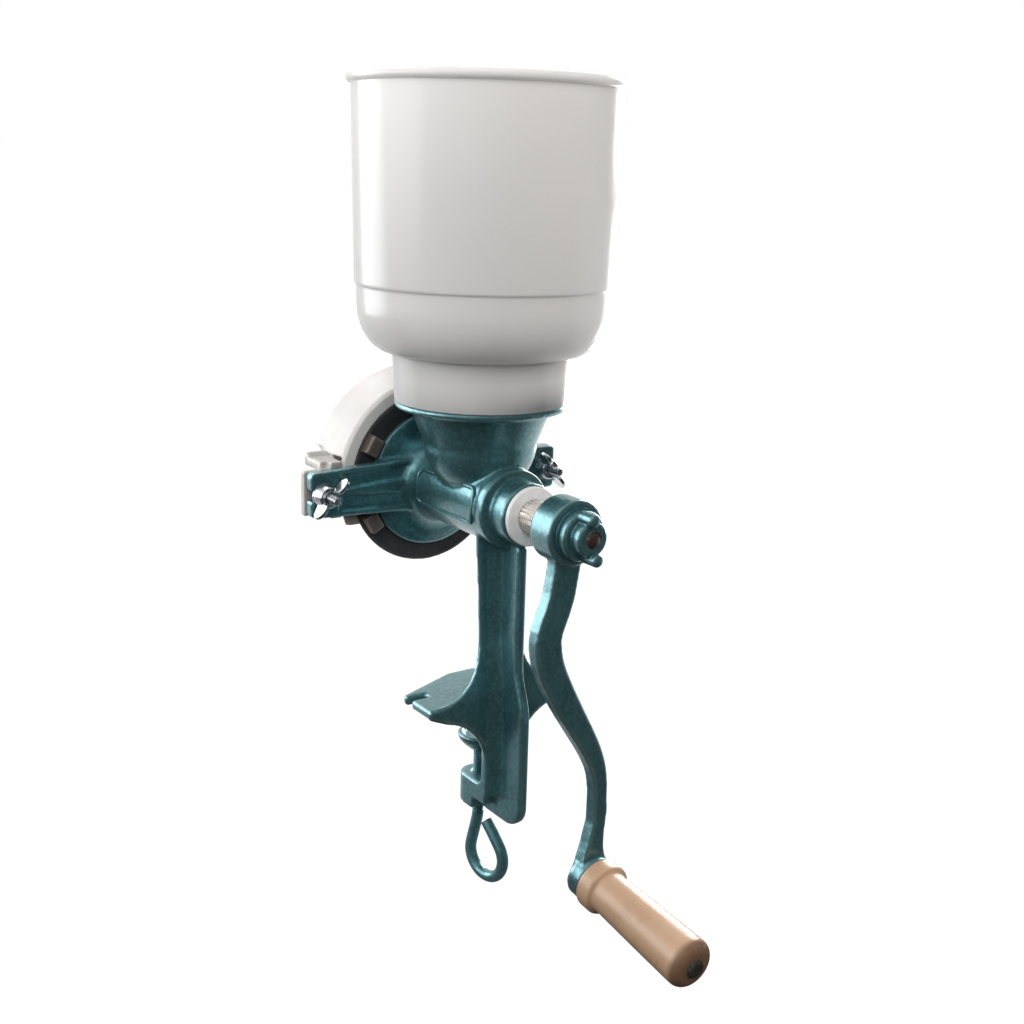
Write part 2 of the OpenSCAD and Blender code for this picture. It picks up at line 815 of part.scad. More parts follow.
module bridge_leg() {
    h = bridge_half_h;
    foot_half = arm_tip_h / 2;
    flange_back_y = foot_back + bridge_flange_deep;
    difference() {
        union() {
            translate([leg_in, foot_front, -foot_half])
                cube([tip_x + 1 - leg_in, foot_t, arm_tip_h]);
            translate([leg_in, foot_back - 1, -h])
                cube([bridge_flange_w, bridge_flange_deep, bridge_flange_t]);
            translate([leg_in + bridge_flange_w / 2, 0, 0])
                plate_along(bridge_flange_w)
                    polygon([[foot_back - 1, h - bridge_flange_t], [flange_back_y - 1, h - bridge_flange_t],
                        [flange_back_y - 1, h + 3], [flange_back_y - 4, h + 2.6], [flange_back_y - 8, h],
                        [foot_back - 1, h]]);
        }
        translate([stud_x, 0, 0])
            rod_y(foot_front - 1, foot_back + 1, slot_w);
    }
}

// Plan of the bow, from the middle of its back to one foot and along its inside to the middle again
bow_plan = [[0, web_back], [leg_out * 0.25, web_back], [leg_out * 0.62, web_back - 5],
    [leg_out * 0.85, web_back - 15], [leg_out * 0.96, web_back - 27], [leg_out, web_back - 39],
    [leg_out, foot_front], [leg_in, foot_front], [leg_in, web_front - 30], [leg_in * 0.96, web_front - 20],
    [leg_in * 0.86, web_front - 10], [leg_in * 0.62, web_front - 2], [leg_in * 0.25, web_front],
    [0, web_front]];

module bridge() {
    h = bridge_half_h;
    boss_r = adjust_boss_d / 2;
    on_shaft()
        color("#b9b2a8")
            difference() {
                union() {
                    bridge_leg();
                    mirror([1, 0, 0])
                        bridge_leg();
                    for (side = [0, 1])
                        mirror([side, 0, 0])
                            translate([0, 0, -h])
                                linear_extrude(2 * h)
                                    polygon(bow_plan);
                    rod_y(web_front - 2, web_back + adjust_boss_len, adjust_boss_d);
                }
                rod_y(web_front - 3, web_back + adjust_boss_len + 1, adjust_d + 2 * run_gap);
            }
}

lock_seat = web_back + adjust_boss_len;
lock_slack = 0.6;
lock_front = lock_seat + lock_slack;
lock_back = lock_front + lock_nut_t;

module adjusting_screw() {
    tip = shaft_end + ball_d / 2 + ball_room;
    wing_front = lock_back + 6;
    wing_long = 20;
    half = thumb_w / 2;
    on_shaft()
        color("#a9a39a") {
            turned([[0, tip], [adjust_d / 2 - 1, tip], [adjust_d / 2, tip + 1],
                [adjust_d / 2, wing_front + wing_long - 2], [adjust_d / 2 - 2, wing_front + wing_long],
                [0, wing_front + wing_long]]);
            translate([0, 0, -2.5])
                linear_extrude(5)
                    polygon(both_sides(concat([[0, wing_front], [adjust_d / 2, wing_front]],
                        arc(half - 8, wing_front + wing_long - 4, 8, -70, 110, 8),
                        [[adjust_d / 2, wing_front + wing_long - 4], [0, wing_front + wing_long - 4]])));
        }
}

module lock_nut() {
    on_shaft()
        color("#9a958d")
            difference() {
                translate([0, lock_front, 0])
                    rotate([-90, 0, 0])
                        cylinder(h = lock_nut_t, d = lock_nut_w / cos(30), $fn = 6);
                rod_y(lock_front - 1, lock_back + 1, adjust_d + 2 * run_gap);
            }
}

// Studs, washers and wing nuts that hold the bridge to the arms

module stud_bolts() {
    on_shaft()
        color("#c8ccd0")
            for (side = [-1, 1])
                translate([side * stud_x, 0, 0]) {
                    turned([[0, arm_front - stud_out], [stud_d / 2 - 0.7, arm_front - stud_out],
                        [stud_d / 2, arm_front - stud_out + 0.7], [stud_d / 2, foot_back + 0.5],
                        [0, foot_back + 0.5]]);
                    translate([-stud_head_w / 2, foot_back + face_gap, -stud_head_w / 2])
                        cube([stud_head_w, stud_head_t, stud_head_w]);
                }
}

washer_back = arm_front - face_gap;
wing_back = washer_back - washer_t - face_gap;

module washer_at(x) {
    on_shaft()
        color("#c8ccd0")
            translate([x, 0, 0])
                difference() {
                    rod_y(washer_back - washer_t, washer_back, washer_d);
                    rod_y(washer_back - washer_t - 1, washer_back + 1, stud_d + 2 * run_gap);
                }
}

// One nut: a round base with two flat wings that sweep forward
module wing_nut_at(x, turn) {
    base_r = wing_base_d / 2;
    front = wing_back - wing_base_h;
    half = wing_span / 2;
    wing_t = 2.6;
    ear = 6;
    on_shaft()
        color("#cfd3d6")
            translate([x, 0, 0])
                rotate([0, -turn, 0])
                    difference() {
                        union() {
                            turned([[0, front], [base_r - 2, front], [base_r - 1.4, front + 0.8],
                                [base_r, wing_back - 1], [base_r, wing_back], [0, wing_back]]);
                            for (side = [0, 1])
                                mirror([side, 0, 0])
                                    translate([0, 0, -wing_t / 2])
                                        linear_extrude(wing_t)
                                            polygon(concat(
                                                [[base_r - 4, wing_back - 2], [base_r - 4, front + 1]],
                                                arc(half - ear, front - 1, ear, 200, 360, 8),
                                                [[half - 2, front + 2], [base_r - 0.5, wing_back - 2]]));
                        }
                        rod_y(front - 12, wing_back + 1, stud_d + 2 * run_gap);
                    }
}

module washer_left() {
    washer_at(-stud_x);
}

module washer_right() {
    washer_at(stud_x);
}

module wing_nut_left() {
    wing_nut_at(-stud_x, wing_turn_left);
}

module wing_nut_right() {
    wing_nut_at(stud_x, wing_turn_right);
}

// Crank: a cast arm in an S, its nut, and the grip on its pin

module at_crank() {
    on_shaft()
        rotate([0, -crank_lean, 0])
            children();
}

// Control points of the arm's bow as a share of the crank radius and a sideways offset
bow_points = [[0, 0], [0.16, -0.46 * bow_upper], [0.25, -0.94 * bow_upper], [0.31, -bow_upper],
    [0.37, -0.88 * bow_upper], [0.465, -0.48 * bow_upper], [0.536, -0.14 * bow_upper],
    [0.605, 0.4 * bow_lower], [0.67, 0.88 * bow_lower], [0.73, bow_lower], [0.82, 0.83 * bow_lower],
    [0.876, 0.48 * bow_lower], [0.93, 0.2 * bow_lower], [1, 0]];

// Share of the arm's taper that is left along it, and the flare into its lower eye
arm_taper = [[0, 1], [0.35, 1], [0.47, 0.78], [0.6, 0.44], [0.68, 0.14], [0.75, 0], [1, 0]];
arm_flare = [[0, 0], [0.84, 0], [0.9, 2.6], [0.95, 9], [1, 20]];

function smooth(p0, p1, p2, p3, t) =
    0.5 * (2 * p1 + (p2 - p0) * t + (2 * p0 - 5 * p1 + 4 * p2 - p3) * t ^ 2
        + (3 * p1 - p0 - 3 * p2 + p3) * t ^ 3);

function bow_at(i, t) =
    let (last = len(bow_points) - 1, p = bow_points)
    smooth(p[max(i - 1, 0)], p[i], p[i + 1], p[min(i + 2, last)], t);

bow_steps = 3;
bow_line = concat([for (i = [0:len(bow_points) - 2], k = [0:bow_steps - 1]) bow_at(i, k / bow_steps)],
    [bow_points[len(bow_points) - 1]]);

// One edge of the arm, half a width to one side of the bow line
function arm_edge(side) =
    [for (i = [0:len(bow_line) - 1])
        let (before = bow_line[max(i - 1, 0)], after = bow_line[min(i + 1, len(bow_line) - 1)])
        let (run = [after[1] - before[1], -(after[0] - before[0]) * crank_r])
        let (across = [-run[1], run[0]] / norm(run))
        let (t = bow_line[i][0], taper = (arm_w_top - arm_w_low) * lookup(t, arm_taper))
        let (half = (arm_w_low + taper + lookup(t, arm_flare)) / 2)
        [bow_line[i][1] + side * half * across[0], -bow_line[i][0] * crank_r + side * half * across[1]]];

crank_front = hub_front + 3;
crank_back = crank_front + crank_t;

// Frame of the grip's pin, at the middle of the arm's lower eye
module at_pin() {
    at_crank()
        translate([0, crank_front, -crank_r])
            rotate([grip_droop, 0, 0])
                children();
}

eye_back = crank_t - 0.5;
eye_front = eye_back - end_len;

module crank_arm() {
    left = arm_edge(-1);
    outline = concat(arm_edge(1), [for (i = [len(left) - 1:-1:0]) left[i]]);
    color("#2c6a6d")
        difference() {
            union() {
                at_crank()
                    plate_across(crank_front, crank_back)
                        polygon(outline);
                at_crank()
                    turned([[0, hub_front], [hub_d / 2 - 1.2, hub_front], [hub_d / 2, hub_front + 1.2],
                        [hub_d / 2, hub_back - 1], [hub_d / 2 - 1, hub_back], [0, hub_back]]);
                at_pin()
                    turned([[0, eye_front], [end_d / 2 - 1.5, eye_front], [end_d / 2, eye_front + 1.5],
                        [end_d / 2, eye_back - 1], [end_d / 2 - 1, eye_back], [0, eye_back]]);
            }
            on_shaft()
                square_y(hub_front - 1, hub_back + 1, front_square + 2 * face_gap);
            at_pin()
                rod_y(eye_front - 5, eye_back + 5, grip_pin_d + 2 * face_gap);
            at_pin()
                rod_y(eye_back, eye_back + 5, rivet_d + 2 * loose_gap);
        }
}

module crank_washer() {
    on_shaft()
        color("#9a9a98")
            difference() {
                rod_y(nut_seat, nut_seat + washer_t, nut_washer_d);
                rod_y(nut_seat - 1, nut_seat + washer_t + 1, thread_d + 2 * loose_gap);
            }
}

// One claw: a stub with a rounded tip that points to the front
module claw() {
    r = claw_d / 2;
    turned(concat([[0, 1 + claw_len]], [[r, 1 + claw_len]], oval(0, 2.6, r, 2.6, 0, -90, 5)));
}

module claw_nut() {
    back = nut_seat - face_gap;
    front = back - nut_flange_t;
    nose = front - nut_collar_len;
    claw_r = (nut_flange_d - claw_d) / 2 + 1;
    on_shaft()
        color("#2c6a6d")
            rotate([0, claw_turn, 0])
                difference() {
                    union() {
                        turned([[0, front], [nut_flange_d / 2 - 1.5, front], [nut_flange_d / 2, front + 1.5],
                            [nut_flange_d / 2, back - 1], [nut_flange_d / 2 - 1, back], [0, back]]);
                        turned([[0, nose], [nut_collar_d / 2 - 1.5, nose], [nut_collar_d / 2, nose + 1.5],
                            [nut_collar_d / 2, front + 1], [0, front + 1]]);
                        for (side = [-1, 1])
                            translate([0, front - claw_len, side * claw_r])
                                claw();
                    }
                    rod_y(front - claw_len, back + 1, thread_d + 2 * run_gap);
                }
}

grip_back = eye_front - face_gap;
grip_front = grip_back - grip_len;

module grip() {
    neck_y = grip_back - grip_collar_len;
    dome = 7;
    neck = grip_neck_d / 2;
    fat = grip_d / 2;
    edge = grip_collar_d / 2;
    color("#b98a55")
        at_pin()
            difference() {
                turned(concat(
                    [[0, grip_back], [edge - 1, grip_back], [edge, grip_back - 1], [edge, neck_y + 1.8],
                        [edge - 1, neck_y + 0.8], [neck + 0.8, neck_y], [neck, neck_y - 0.8],
                        [neck + (fat - neck) * 0.6, (neck_y + grip_front) / 2]],
                    oval(fat - dome, grip_front + dome, dome, dome, 0, -90, 6),
                    [[0, grip_front]]));
                rod_y(grip_front - 1, grip_back + 1, grip_pin_d + 2 * run_gap);
            }
}

// The pin is headed behind the arm's eye and riveted over in front of the grip
module grip_pin() {
    head = rivet_d / 2;
    r = grip_pin_d / 2;
    front = grip_front - face_gap;
    color("#8d8b88")
        at_pin()
            turned([[0, front - 2.4], [head - 1.6, front - 2.4], [head, front - 1], [head, front],
                [r, front], [r, eye_back + face_gap], [head, eye_back + face_gap],
                [head, eye_back + 1], [head - 1.6, eye_back + 2.4], [0, eye_back + 2.4]]);
}

// Clamp: a bent screw with an eye for a handle, and the pad that swivels on its tip

// Centre line of the eye in the plane of the bend, from the screw's end round to the cut end
eye_neck = screw_boss_low - eye_drop;
eye_centre = [eye_r * 0.6, eye_neck - eye_h + eye_r];
cut_end = [clamp_d + 0.4, eye_neck - 4];
eye_line = concat(
    [[0, eye_neck + 6], [0, eye_neck + 1], [-0.4, eye_neck - 4]],
    arc(eye_centre[0], eye_centre[1], eye_r, 163, 400, 24),
    [cut_end + [6, -6], cut_end + [2, -2], cut_end]);

module eye_sweep() {
    around = 20;
    last = len(eye_line) - 1;
    points = [for (i = [0:last], k = [0:around - 1])
        let (run = eye_line[min(i + 1, last)] - eye_line[max(i - 1, 0)], a = k * 360 / around)
        let (side = [run[1], -run[0]] / norm(run), r = clamp_d / 2 - (i < 2 ? 0.15 : 0))
        [eye_line[i][0] + r * cos(a) * side[0], r * sin(a), eye_line[i][1] + r * cos(a) * side[1]]];
    sides = [for (i = [0:last - 1], k = [0:around - 1])
        let (p = around * i + k, q = around * i + (k + 1) % around)
        each [[q, p, q + around], [q + around, p, p + around]]];
    caps = [[for (k = [0:around - 1]) k], [for (k = [around - 1:-1:0]) around * last + k]];
    polyhedron(points, concat(sides, caps));
}

pad_socket = 4;

module clamp_screw() {
    tip = pad_top - pad_socket - face_gap;
    on_shaft()
        color("#2c6a6d")
            translate([0, screw_y, 0])
                rotate([0, 0, eye_turn]) {
                    translate([0, 0, eye_neck + 2])
                        cylinder(h = tip - eye_neck - 2, d = clamp_d);
                    eye_sweep();
                }
}

module clamp_pad() {
    r = pad_d / 2;
    low = pad_top - pad_h;
    on_shaft()
        color("#2c6a6d")
            translate([0, screw_y, 0])
                difference() {
                    rotate_extrude()
                        polygon([[0, pad_top - 2], [r - 5, pad_top - 2], [r - 3, pad_top],
                            [r - 0.8, pad_top], [r, pad_top - 1], [r - 1, pad_top - 4.5],
                            [r - 4, pad_top - 8],
                            [clamp_d / 2 + 3.5, low + 1], [clamp_d / 2 + 2.5, low], [0, low]]);
                    translate([0, 0, low - 1])
                        cylinder(h = pad_h + 1 - pad_socket, d = clamp_d + 2 * run_gap);
                }
}

mill_body();
hopper();
front_bush();
drive_shaft();
feed_worm();
drive_pin();
fixed_disc();
rotating_disc();
thrust_ball();
guard();
bridge();
adjusting_screw();
lock_nut();
stud_bolts();
washer_left();
washer_right();
wing_nut_left();
wing_nut_right();
crank_arm();
crank_washer();
claw_nut();
grip();
grip_pin();
clamp_screw();
clamp_pad();
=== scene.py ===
# Hand grain mill that clamps to a table: its looks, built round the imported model, in metres.
import math

import bmesh
import bpy
import numpy as np
from mathutils import Matrix, Vector


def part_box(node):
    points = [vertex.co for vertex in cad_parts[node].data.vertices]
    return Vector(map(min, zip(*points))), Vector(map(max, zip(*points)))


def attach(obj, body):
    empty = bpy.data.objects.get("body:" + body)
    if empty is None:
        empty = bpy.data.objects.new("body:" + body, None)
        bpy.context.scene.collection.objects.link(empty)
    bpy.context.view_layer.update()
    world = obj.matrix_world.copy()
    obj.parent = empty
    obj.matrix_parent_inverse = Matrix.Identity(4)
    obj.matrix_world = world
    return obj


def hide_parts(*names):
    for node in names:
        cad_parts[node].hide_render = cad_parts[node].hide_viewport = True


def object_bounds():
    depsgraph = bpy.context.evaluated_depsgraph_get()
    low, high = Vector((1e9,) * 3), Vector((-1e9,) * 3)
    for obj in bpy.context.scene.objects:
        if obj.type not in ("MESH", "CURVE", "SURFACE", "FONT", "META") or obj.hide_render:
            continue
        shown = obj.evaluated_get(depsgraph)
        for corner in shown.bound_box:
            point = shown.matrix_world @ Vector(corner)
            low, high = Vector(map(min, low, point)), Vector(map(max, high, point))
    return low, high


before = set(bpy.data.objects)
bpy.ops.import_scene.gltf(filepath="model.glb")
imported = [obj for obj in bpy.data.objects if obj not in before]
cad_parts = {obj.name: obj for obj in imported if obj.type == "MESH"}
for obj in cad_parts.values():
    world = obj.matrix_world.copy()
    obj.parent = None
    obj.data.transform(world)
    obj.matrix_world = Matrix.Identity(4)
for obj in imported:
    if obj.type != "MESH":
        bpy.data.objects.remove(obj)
cad_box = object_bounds()

# Studio: a white floor and backdrop, a window light from the left rear and a weaker one from the
# right, and a dim room with a dark floor in front, as in the photograph.
# The camera stands where the photograph was taken.
MM = 0.001
camera_place = Vector((-477.8, -707.3, 348.7)) * MM
camera_heading, camera_pitch, camera_roll = (math.radians(a) for a in (35.22, 14.66, 1.68))
level_ahead = Vector((math.sin(camera_heading), math.cos(camera_heading), 0))
level_right = Vector((math.cos(camera_heading), -math.sin(camera_heading), 0))
ahead = level_ahead * math.cos(camera_pitch) - Vector((0, 0, 1)) * math.sin(camera_pitch)
above = level_right.cross(ahead)
right = level_right * math.cos(camera_roll) + above * math.sin(camera_roll)
up = above * math.cos(camera_roll) - level_right * math.sin(camera_roll)


def linked(name, data):
    """A new object in the scene."""
    made = bpy.data.objects.new(name, data)
    bpy.context.scene.collection.objects.link(made)
    return made


camera_data = bpy.data.cameras.new("photo_view")
camera_data.sensor_width = 36
camera_data.lens = 47.56
camera_data.clip_start = 0.01
camera = linked("photo_view", camera_data)
camera.matrix_world = Matrix((right, up, -ahead)).transposed().to_4x4()
camera.location = camera_place
bpy.context.scene.camera = camera
bpy.context.scene.view_settings.view_transform = "Standard"


def feed(tree, node, inputs):
    """Sets a node's inputs to values, or links them to sockets."""
    for socket, value in inputs.items():
        if isinstance(value, bpy.types.NodeSocket):
            tree.links.new(value, node.inputs[socket])
        else:
            node.inputs[socket].default_value = value


def add(tree, kind, inputs=None, **settings):
    """Adds a node, with settings for its fields, and values or sockets for its inputs."""
    made = tree.nodes.new(kind)
    for field, value in settings.items():
        setattr(made, field, value)
    feed(tree, made, inputs or {})
    return made


def sums(tree, operation, first, second):
    """One step of arithmetic on values or sockets."""
    return add(tree, "ShaderNodeMath", {0: first, 1: second}, operation=operation).outputs[0]


def spread(tree, value, low, high, to_low=0.0, to_high=1.0, easing="LINEAR"):
    """Stretches a part of a value's range over another range."""
    return add(tree, "ShaderNodeMapRange", {"Value": value, "From Min": low, "From Max": high,
               "To Min": to_low, "To Max": to_high}, interpolation_type=easing).outputs[0]


def measured(tree, where, direction):
    """How far a place or a direction reaches along another direction."""
    return add(tree, "ShaderNodeVectorMath", {0: where, 1: direction},
               operation="DOT_PRODUCT").outputs["Value"]


world = bpy.data.worlds.new("studio")
bpy.context.scene.world = world
world.use_nodes = True
tree = world.node_tree
tree.nodes.clear()
window_side = Vector((-0.50, 0.82, 0.28)).normalized()
towards = measured(tree, add(tree, "ShaderNodeTexCoord").outputs["Generated"], window_side)
level = spread(tree, towards, -0.6, 0.75, 0.03, 1.0, "SMOOTHSTEP")
path = add(tree, "ShaderNodeLightPath").outputs
mirrored = spread(tree, path["Is Glossy Ray"], 0, 1, 0.5, 1.0)
strength = sums(tree, "MULTIPLY", level, mirrored)
room = add(tree, "ShaderNodeBackground", {"Color": (1.0, 0.985, 0.97, 1), "Strength": strength})
white = add(tree, "ShaderNodeBackground", {"Color": (1, 1, 1, 1), "Strength": 1})
seen = sums(tree, "MAXIMUM", path["Is Camera Ray"], path["Is Transmission Ray"])
sky = add(tree, "ShaderNodeMixShader", {0: seen, 1: room.outputs[0], 2: white.outputs[0]})
add(tree, "ShaderNodeOutputWorld", {"Surface": sky.outputs[0]})

lamp_aim = Vector((0, 0, 0.16))


def soft_box(name, place, size, watts, colour):
    """A square soft box that faces the middle of the mill."""
    lamp = bpy.data.lights.new(name, "AREA")
    lamp.size, lamp.energy, lamp.color = size, watts, colour
    box = linked(name, lamp)
    box.location = place
    box.rotation_euler = (lamp_aim - Vector(place)).to_track_quat("-Z", "Y").to_euler()
    return box


daylight, lamplight, plain_light = (0.95, 0.98, 1.0), (1.0, 0.98, 0.96), (1.0, 1.0, 1.0)
soft_box("window_left", (-1.30, 0.35, 0.55), 0.9, 6.5, daylight)
soft_box("window_right", (1.15, 0.55, 0.60), 0.6, 10, (1.0, 0.99, 0.98))
soft_box("ceiling", (0.0, 1.15, 1.15), 0.7, 5, plain_light)
for glint in (soft_box("glint_left", (-0.85, 1.25, 0.42), 1.0, 14, daylight),
              soft_box("glint_right", (0.95, 0.58, 0.08), 0.35, 5, plain_light)):
    glint.visible_diffuse = False
for fill in (soft_box("room_fill_left", (-0.75, -1.05, 1.15), 1.2, 15, lamplight),
             soft_box("room_fill_right", (1.05, -0.90, 0.80), 1.2, 9, lamplight)):
    fill.visible_glossy = False

floor_z, floor_reach, paper_white = cad_box[0].z - 1 * MM, 8, 0.86
floor_mesh = bpy.data.meshes.new("floor")
floor_mesh.from_pydata([(x * floor_reach, y * floor_reach, floor_z)
                        for x, y in ((-1, -1), (1, -1), (1, 1), (-1, 1))], [], [(0, 1, 2, 3)])
floor = linked("floor", floor_mesh)
paper = bpy.data.materials.new("floor_paper")
paper.use_nodes = True
tree = paper.node_tree
tree.nodes.clear()
beyond = measured(tree, add(tree, "ShaderNodeTexCoord").outputs["Object"], level_ahead)
paleness = spread(tree, beyond, -0.10, 0.35, 0.03, paper_white, "SMOOTHSTEP")
path = add(tree, "ShaderNodeLightPath").outputs
seen = sums(tree, "MAXIMUM", path["Is Camera Ray"], path["Is Transmission Ray"])
colour = sums(tree, "MAXIMUM", paleness, sums(tree, "MULTIPLY", seen, paper_white))
matt = add(tree, "ShaderNodeBsdfDiffuse", {"Color": colour})
glow = add(tree, "ShaderNodeEmission", {"Color": (1, 1, 1, 1), "Strength": 1.13})
shining = sums(tree, "MULTIPLY", path["Is Glossy Ray"], paleness)
share = sums(tree, "MULTIPLY", sums(tree, "MAXIMUM", seen, shining), 0.85)
both = add(tree, "ShaderNodeMixShader", {0: share, 1: matt.outputs[0], 2: glow.outputs[0]})
add(tree, "ShaderNodeOutputMaterial", {"Surface": both.outputs[0]})
floor_mesh.materials.append(paper)


# Mill body: funnel, barrel, arms, column and clamp frame in one grey iron sand casting.
# The mould leaves filled inner corners and soft outer edges, and a teal hammer paint covers it all.
def merged_copy(node):
    """A copy of a node's mesh with its loose triangles joined."""
    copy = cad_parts[node].data.copy()
    shape = bmesh.new()
    shape.from_mesh(copy)
    bmesh.ops.remove_doubles(shape, verts=shape.verts, dist=1e-6)
    shape.to_mesh(copy)
    shape.free()
    copy.materials.clear()
    return copy


def as_piece(name, mesh, finish, body, slot, *nodes):
    """Puts a mesh in the scene as a piece that rides on a body and stands for CAD nodes."""
    mesh.materials.clear()
    mesh.materials.append(finish)
    piece = linked(name, mesh)
    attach(piece, body)
    if nodes:
        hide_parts(*nodes)


def taken_from(carrier):
    """The mesh that a carrier object's modifiers make. The carrier is then removed."""
    made = bpy.data.meshes.new_from_object(
        carrier.evaluated_get(bpy.context.evaluated_depsgraph_get()))
    bpy.data.objects.remove(carrier)
    return made


def smooth_shaded(mesh, sharp=None):
    """Shades a mesh smooth, except over edges that turn by more than an angle in degrees."""
    mesh.polygons.foreach_set("use_smooth", np.ones(len(mesh.polygons), bool))
    if sharp:
        mesh.set_sharp_from_angle(angle=math.radians(sharp))


def cast_skin(mesh, voxel, fillet, edge, steps):
    """An even skin over a mesh whose inner corners are filled to one radius and outer edges eased
    to another, in mm. Each step moves only points that are more sharply curved than those radii,
    so flats and bores keep their place."""
    voxel, fillet, edge = voxel * MM, fillet * MM, edge * MM
    carrier = linked("carrier", mesh)
    remesh = carrier.modifiers.new("remesh", "REMESH")
    remesh.mode, remesh.voxel_size = "VOXEL", voxel
    skin = taken_from(carrier)
    count = len(skin.vertices)
    points = np.empty(count * 3)
    skin.vertices.foreach_get("co", points)
    points = points.reshape(-1, 3)
    pairs = np.empty(len(skin.edges) * 2, np.int64)
    skin.edges.foreach_get("vertices", pairs)
    one, other = pairs[0::2], pairs[1::2]
    corners = np.empty(len(skin.loops), np.int64)
    skin.loops.foreach_get("vertex_index", corners)
    corners = corners.reshape(-1, 4)
    degree = np.bincount(pairs, minlength=count)

    def gathered(index, values):
        return np.stack([np.bincount(index, values[:, axis], count) for axis in range(3)], axis=1)

    def bend():
        """Each point's step to the mean of its neighbours, and how much of it is outward."""
        mean = (gathered(one, points[other]) + gathered(other, points[one])) / degree[:, None]
        step = mean - points
        across = np.cross(points[corners[:, 2]] - points[corners[:, 0]],
                          points[corners[:, 3]] - points[corners[:, 1]])
        normal = sum(gathered(corners[:, k], across) for k in range(4))
        normal /= np.linalg.norm(normal, axis=1)[:, None] + 1e-12
        return step, (step * normal).sum(1)

    inner, outer = voxel ** 2 / (4 * fillet), voxel ** 2 / (4 * edge)
    for _ in range(steps):
        step, outward = bend()
        weight = np.where(outward > 0, outward / inner, -outward / outer) - 1
        points += 0.5 * np.clip(weight, 0, 1)[:, None] * step
    for _ in range(2):
        points += 0.4 * bend()[0]
    worn = np.clip(-bend()[1] / (0.6 * outer), 0, 1)
    for _ in range(2):
        worn = 0.5 * worn + 0.5 * (np.bincount(one, worn[other], count)
                                   + np.bincount(other, worn[one], count)) / degree
    skin.vertices.foreach_set("co", points.ravel())
    skin.attributes.new("edge", "FLOAT", "POINT").data.foreach_set("value", worn)
    smooth_shaded(skin)
    skin.update()
    return skin


def new_finish(name):
    """A material with its tree, its shader and the object's own coordinates."""
    made = bpy.data.materials.new(name)
    made.use_nodes = True
    tree = made.node_tree
    where = add(tree, "ShaderNodeTexCoord").outputs["Object"]
    return made, tree, tree.nodes["Principled BSDF"], where


def noise(tree, where, scale, detail=3.0, roughness=0.5):
    """Even noise from 0 to 1, with a scale in waves per metre."""
    return add(tree, "ShaderNodeTexNoise", {"Vector": where, "Scale": scale, "Detail": detail,
               "Roughness": roughness}).outputs["Fac"]


def blended(tree, share, first, second):
    """Mixes two colours, each a triple or a socket."""
    given = {place: colour if isinstance(colour, bpy.types.NodeSocket) else (*colour, 1)
             for place, colour in ((6, first), (7, second))}
    return add(tree, "ShaderNodeMix", {0: share, **given}, data_type="RGBA").outputs[2]


def rubbed(tree, share):
    """How far a casting's outer edges are rubbed, up to a share."""
    edge = add(tree, "ShaderNodeAttribute", attribute_name="edge").outputs["Fac"]
    return sums(tree, "MULTIPLY", edge, share)


def relief(tree, shader, height, depth, strength):
    """Gives a shader a bumped surface from a height, with a depth in mm."""
    made = add(tree, "ShaderNodeBump", {"Height": height, "Distance": depth * MM,
               "Strength": strength})
    tree.links.new(made.outputs[0], shader.inputs["Normal"])


teal_paint, tree, shader, where = new_finish("teal_hammer_paint")
dimples = add(tree, "ShaderNodeTexVoronoi", {"Vector": where, "Scale": 330, "Smoothness": 0.5},
              feature="SMOOTH_F1").outputs["Distance"]
drift, grain = noise(tree, where, 45), noise(tree, where, 1500, 2)
tone = blended(tree, spread(tree, drift, 0.3, 0.7), (0.070, 0.190, 0.215), (0.098, 0.250, 0.276))
# Painted highlight: the middle of each hammer dimple is painted a lighter teal, for the light it
# catches.
tone = blended(tree, spread(tree, dimples, 0.15, 0.6), (0.120, 0.292, 0.318), tone)
tone = blended(tree, rubbed(tree, 0.35), tone, (0.30, 0.45, 0.47))
feed(tree, shader, {"Base Color": tone, "Roughness": spread(tree, drift, 0.3, 0.7, 0.28, 0.38),
     "Metallic": 0.72, "Coat Weight": 0.5, "Coat Roughness": 0.16})
relief(tree, shader, sums(tree, "ADD", dimples, sums(tree, "MULTIPLY", grain, 0.12)), 0.30, 0.35)
body_skin = cast_skin(merged_copy("mill_body"), voxel=1.25, fillet=3.4, edge=1.3, steps=60)
as_piece("mill_body_casting", body_skin, teal_paint, "mill", "cast_paint", "mill_body")

# Border of the plate on the barrel's left side: a raised bead cast with the body.
# The field inside it is bare, so only the bead stands out from the barrel.
bead_r = 1.6 * MM
bead_front, bead_rear, bead_corner = -29 * MM, 37 * MM, 5 * MM
bead_low, bead_high = math.radians(-22), math.radians(32)
barrel_r = 25 * MM
shaft_place = Vector((0, 8, 134)) * MM
half_long, half_high = (bead_rear - bead_front) / 2, barrel_r * (bead_high - bead_low) / 2
bead_points = []
for quarter, (sx, sy) in enumerate(((1, 1), (-1, 1), (-1, -1), (1, -1))):
    for k in range(9):
        a = math.radians(90 * quarter + 90 * k / 8)
        along = sx * (half_long - bead_corner) + bead_corner * math.cos(a)
        rise = sy * (half_high - bead_corner) + bead_corner * math.sin(a)
        around = (bead_low + bead_high) / 2 + rise / barrel_r
        bead_points.append((-barrel_r * math.cos(around), (bead_front + bead_rear) / 2 + along,
                            barrel_r * math.sin(around)))


def along_path(name, points, cyclic):
    """A curve object through points, in the part's frame."""
    line = bpy.data.curves.new(name, "CURVE")
    line.dimensions = "3D"
    spline = line.splines.new("POLY")
    spline.points.add(len(points) - 1)
    for spot, point in zip(spline.points, points):
        spot.co = (*point, 1)
    spline.use_cyclic_u = cyclic
    return linked(name, line)


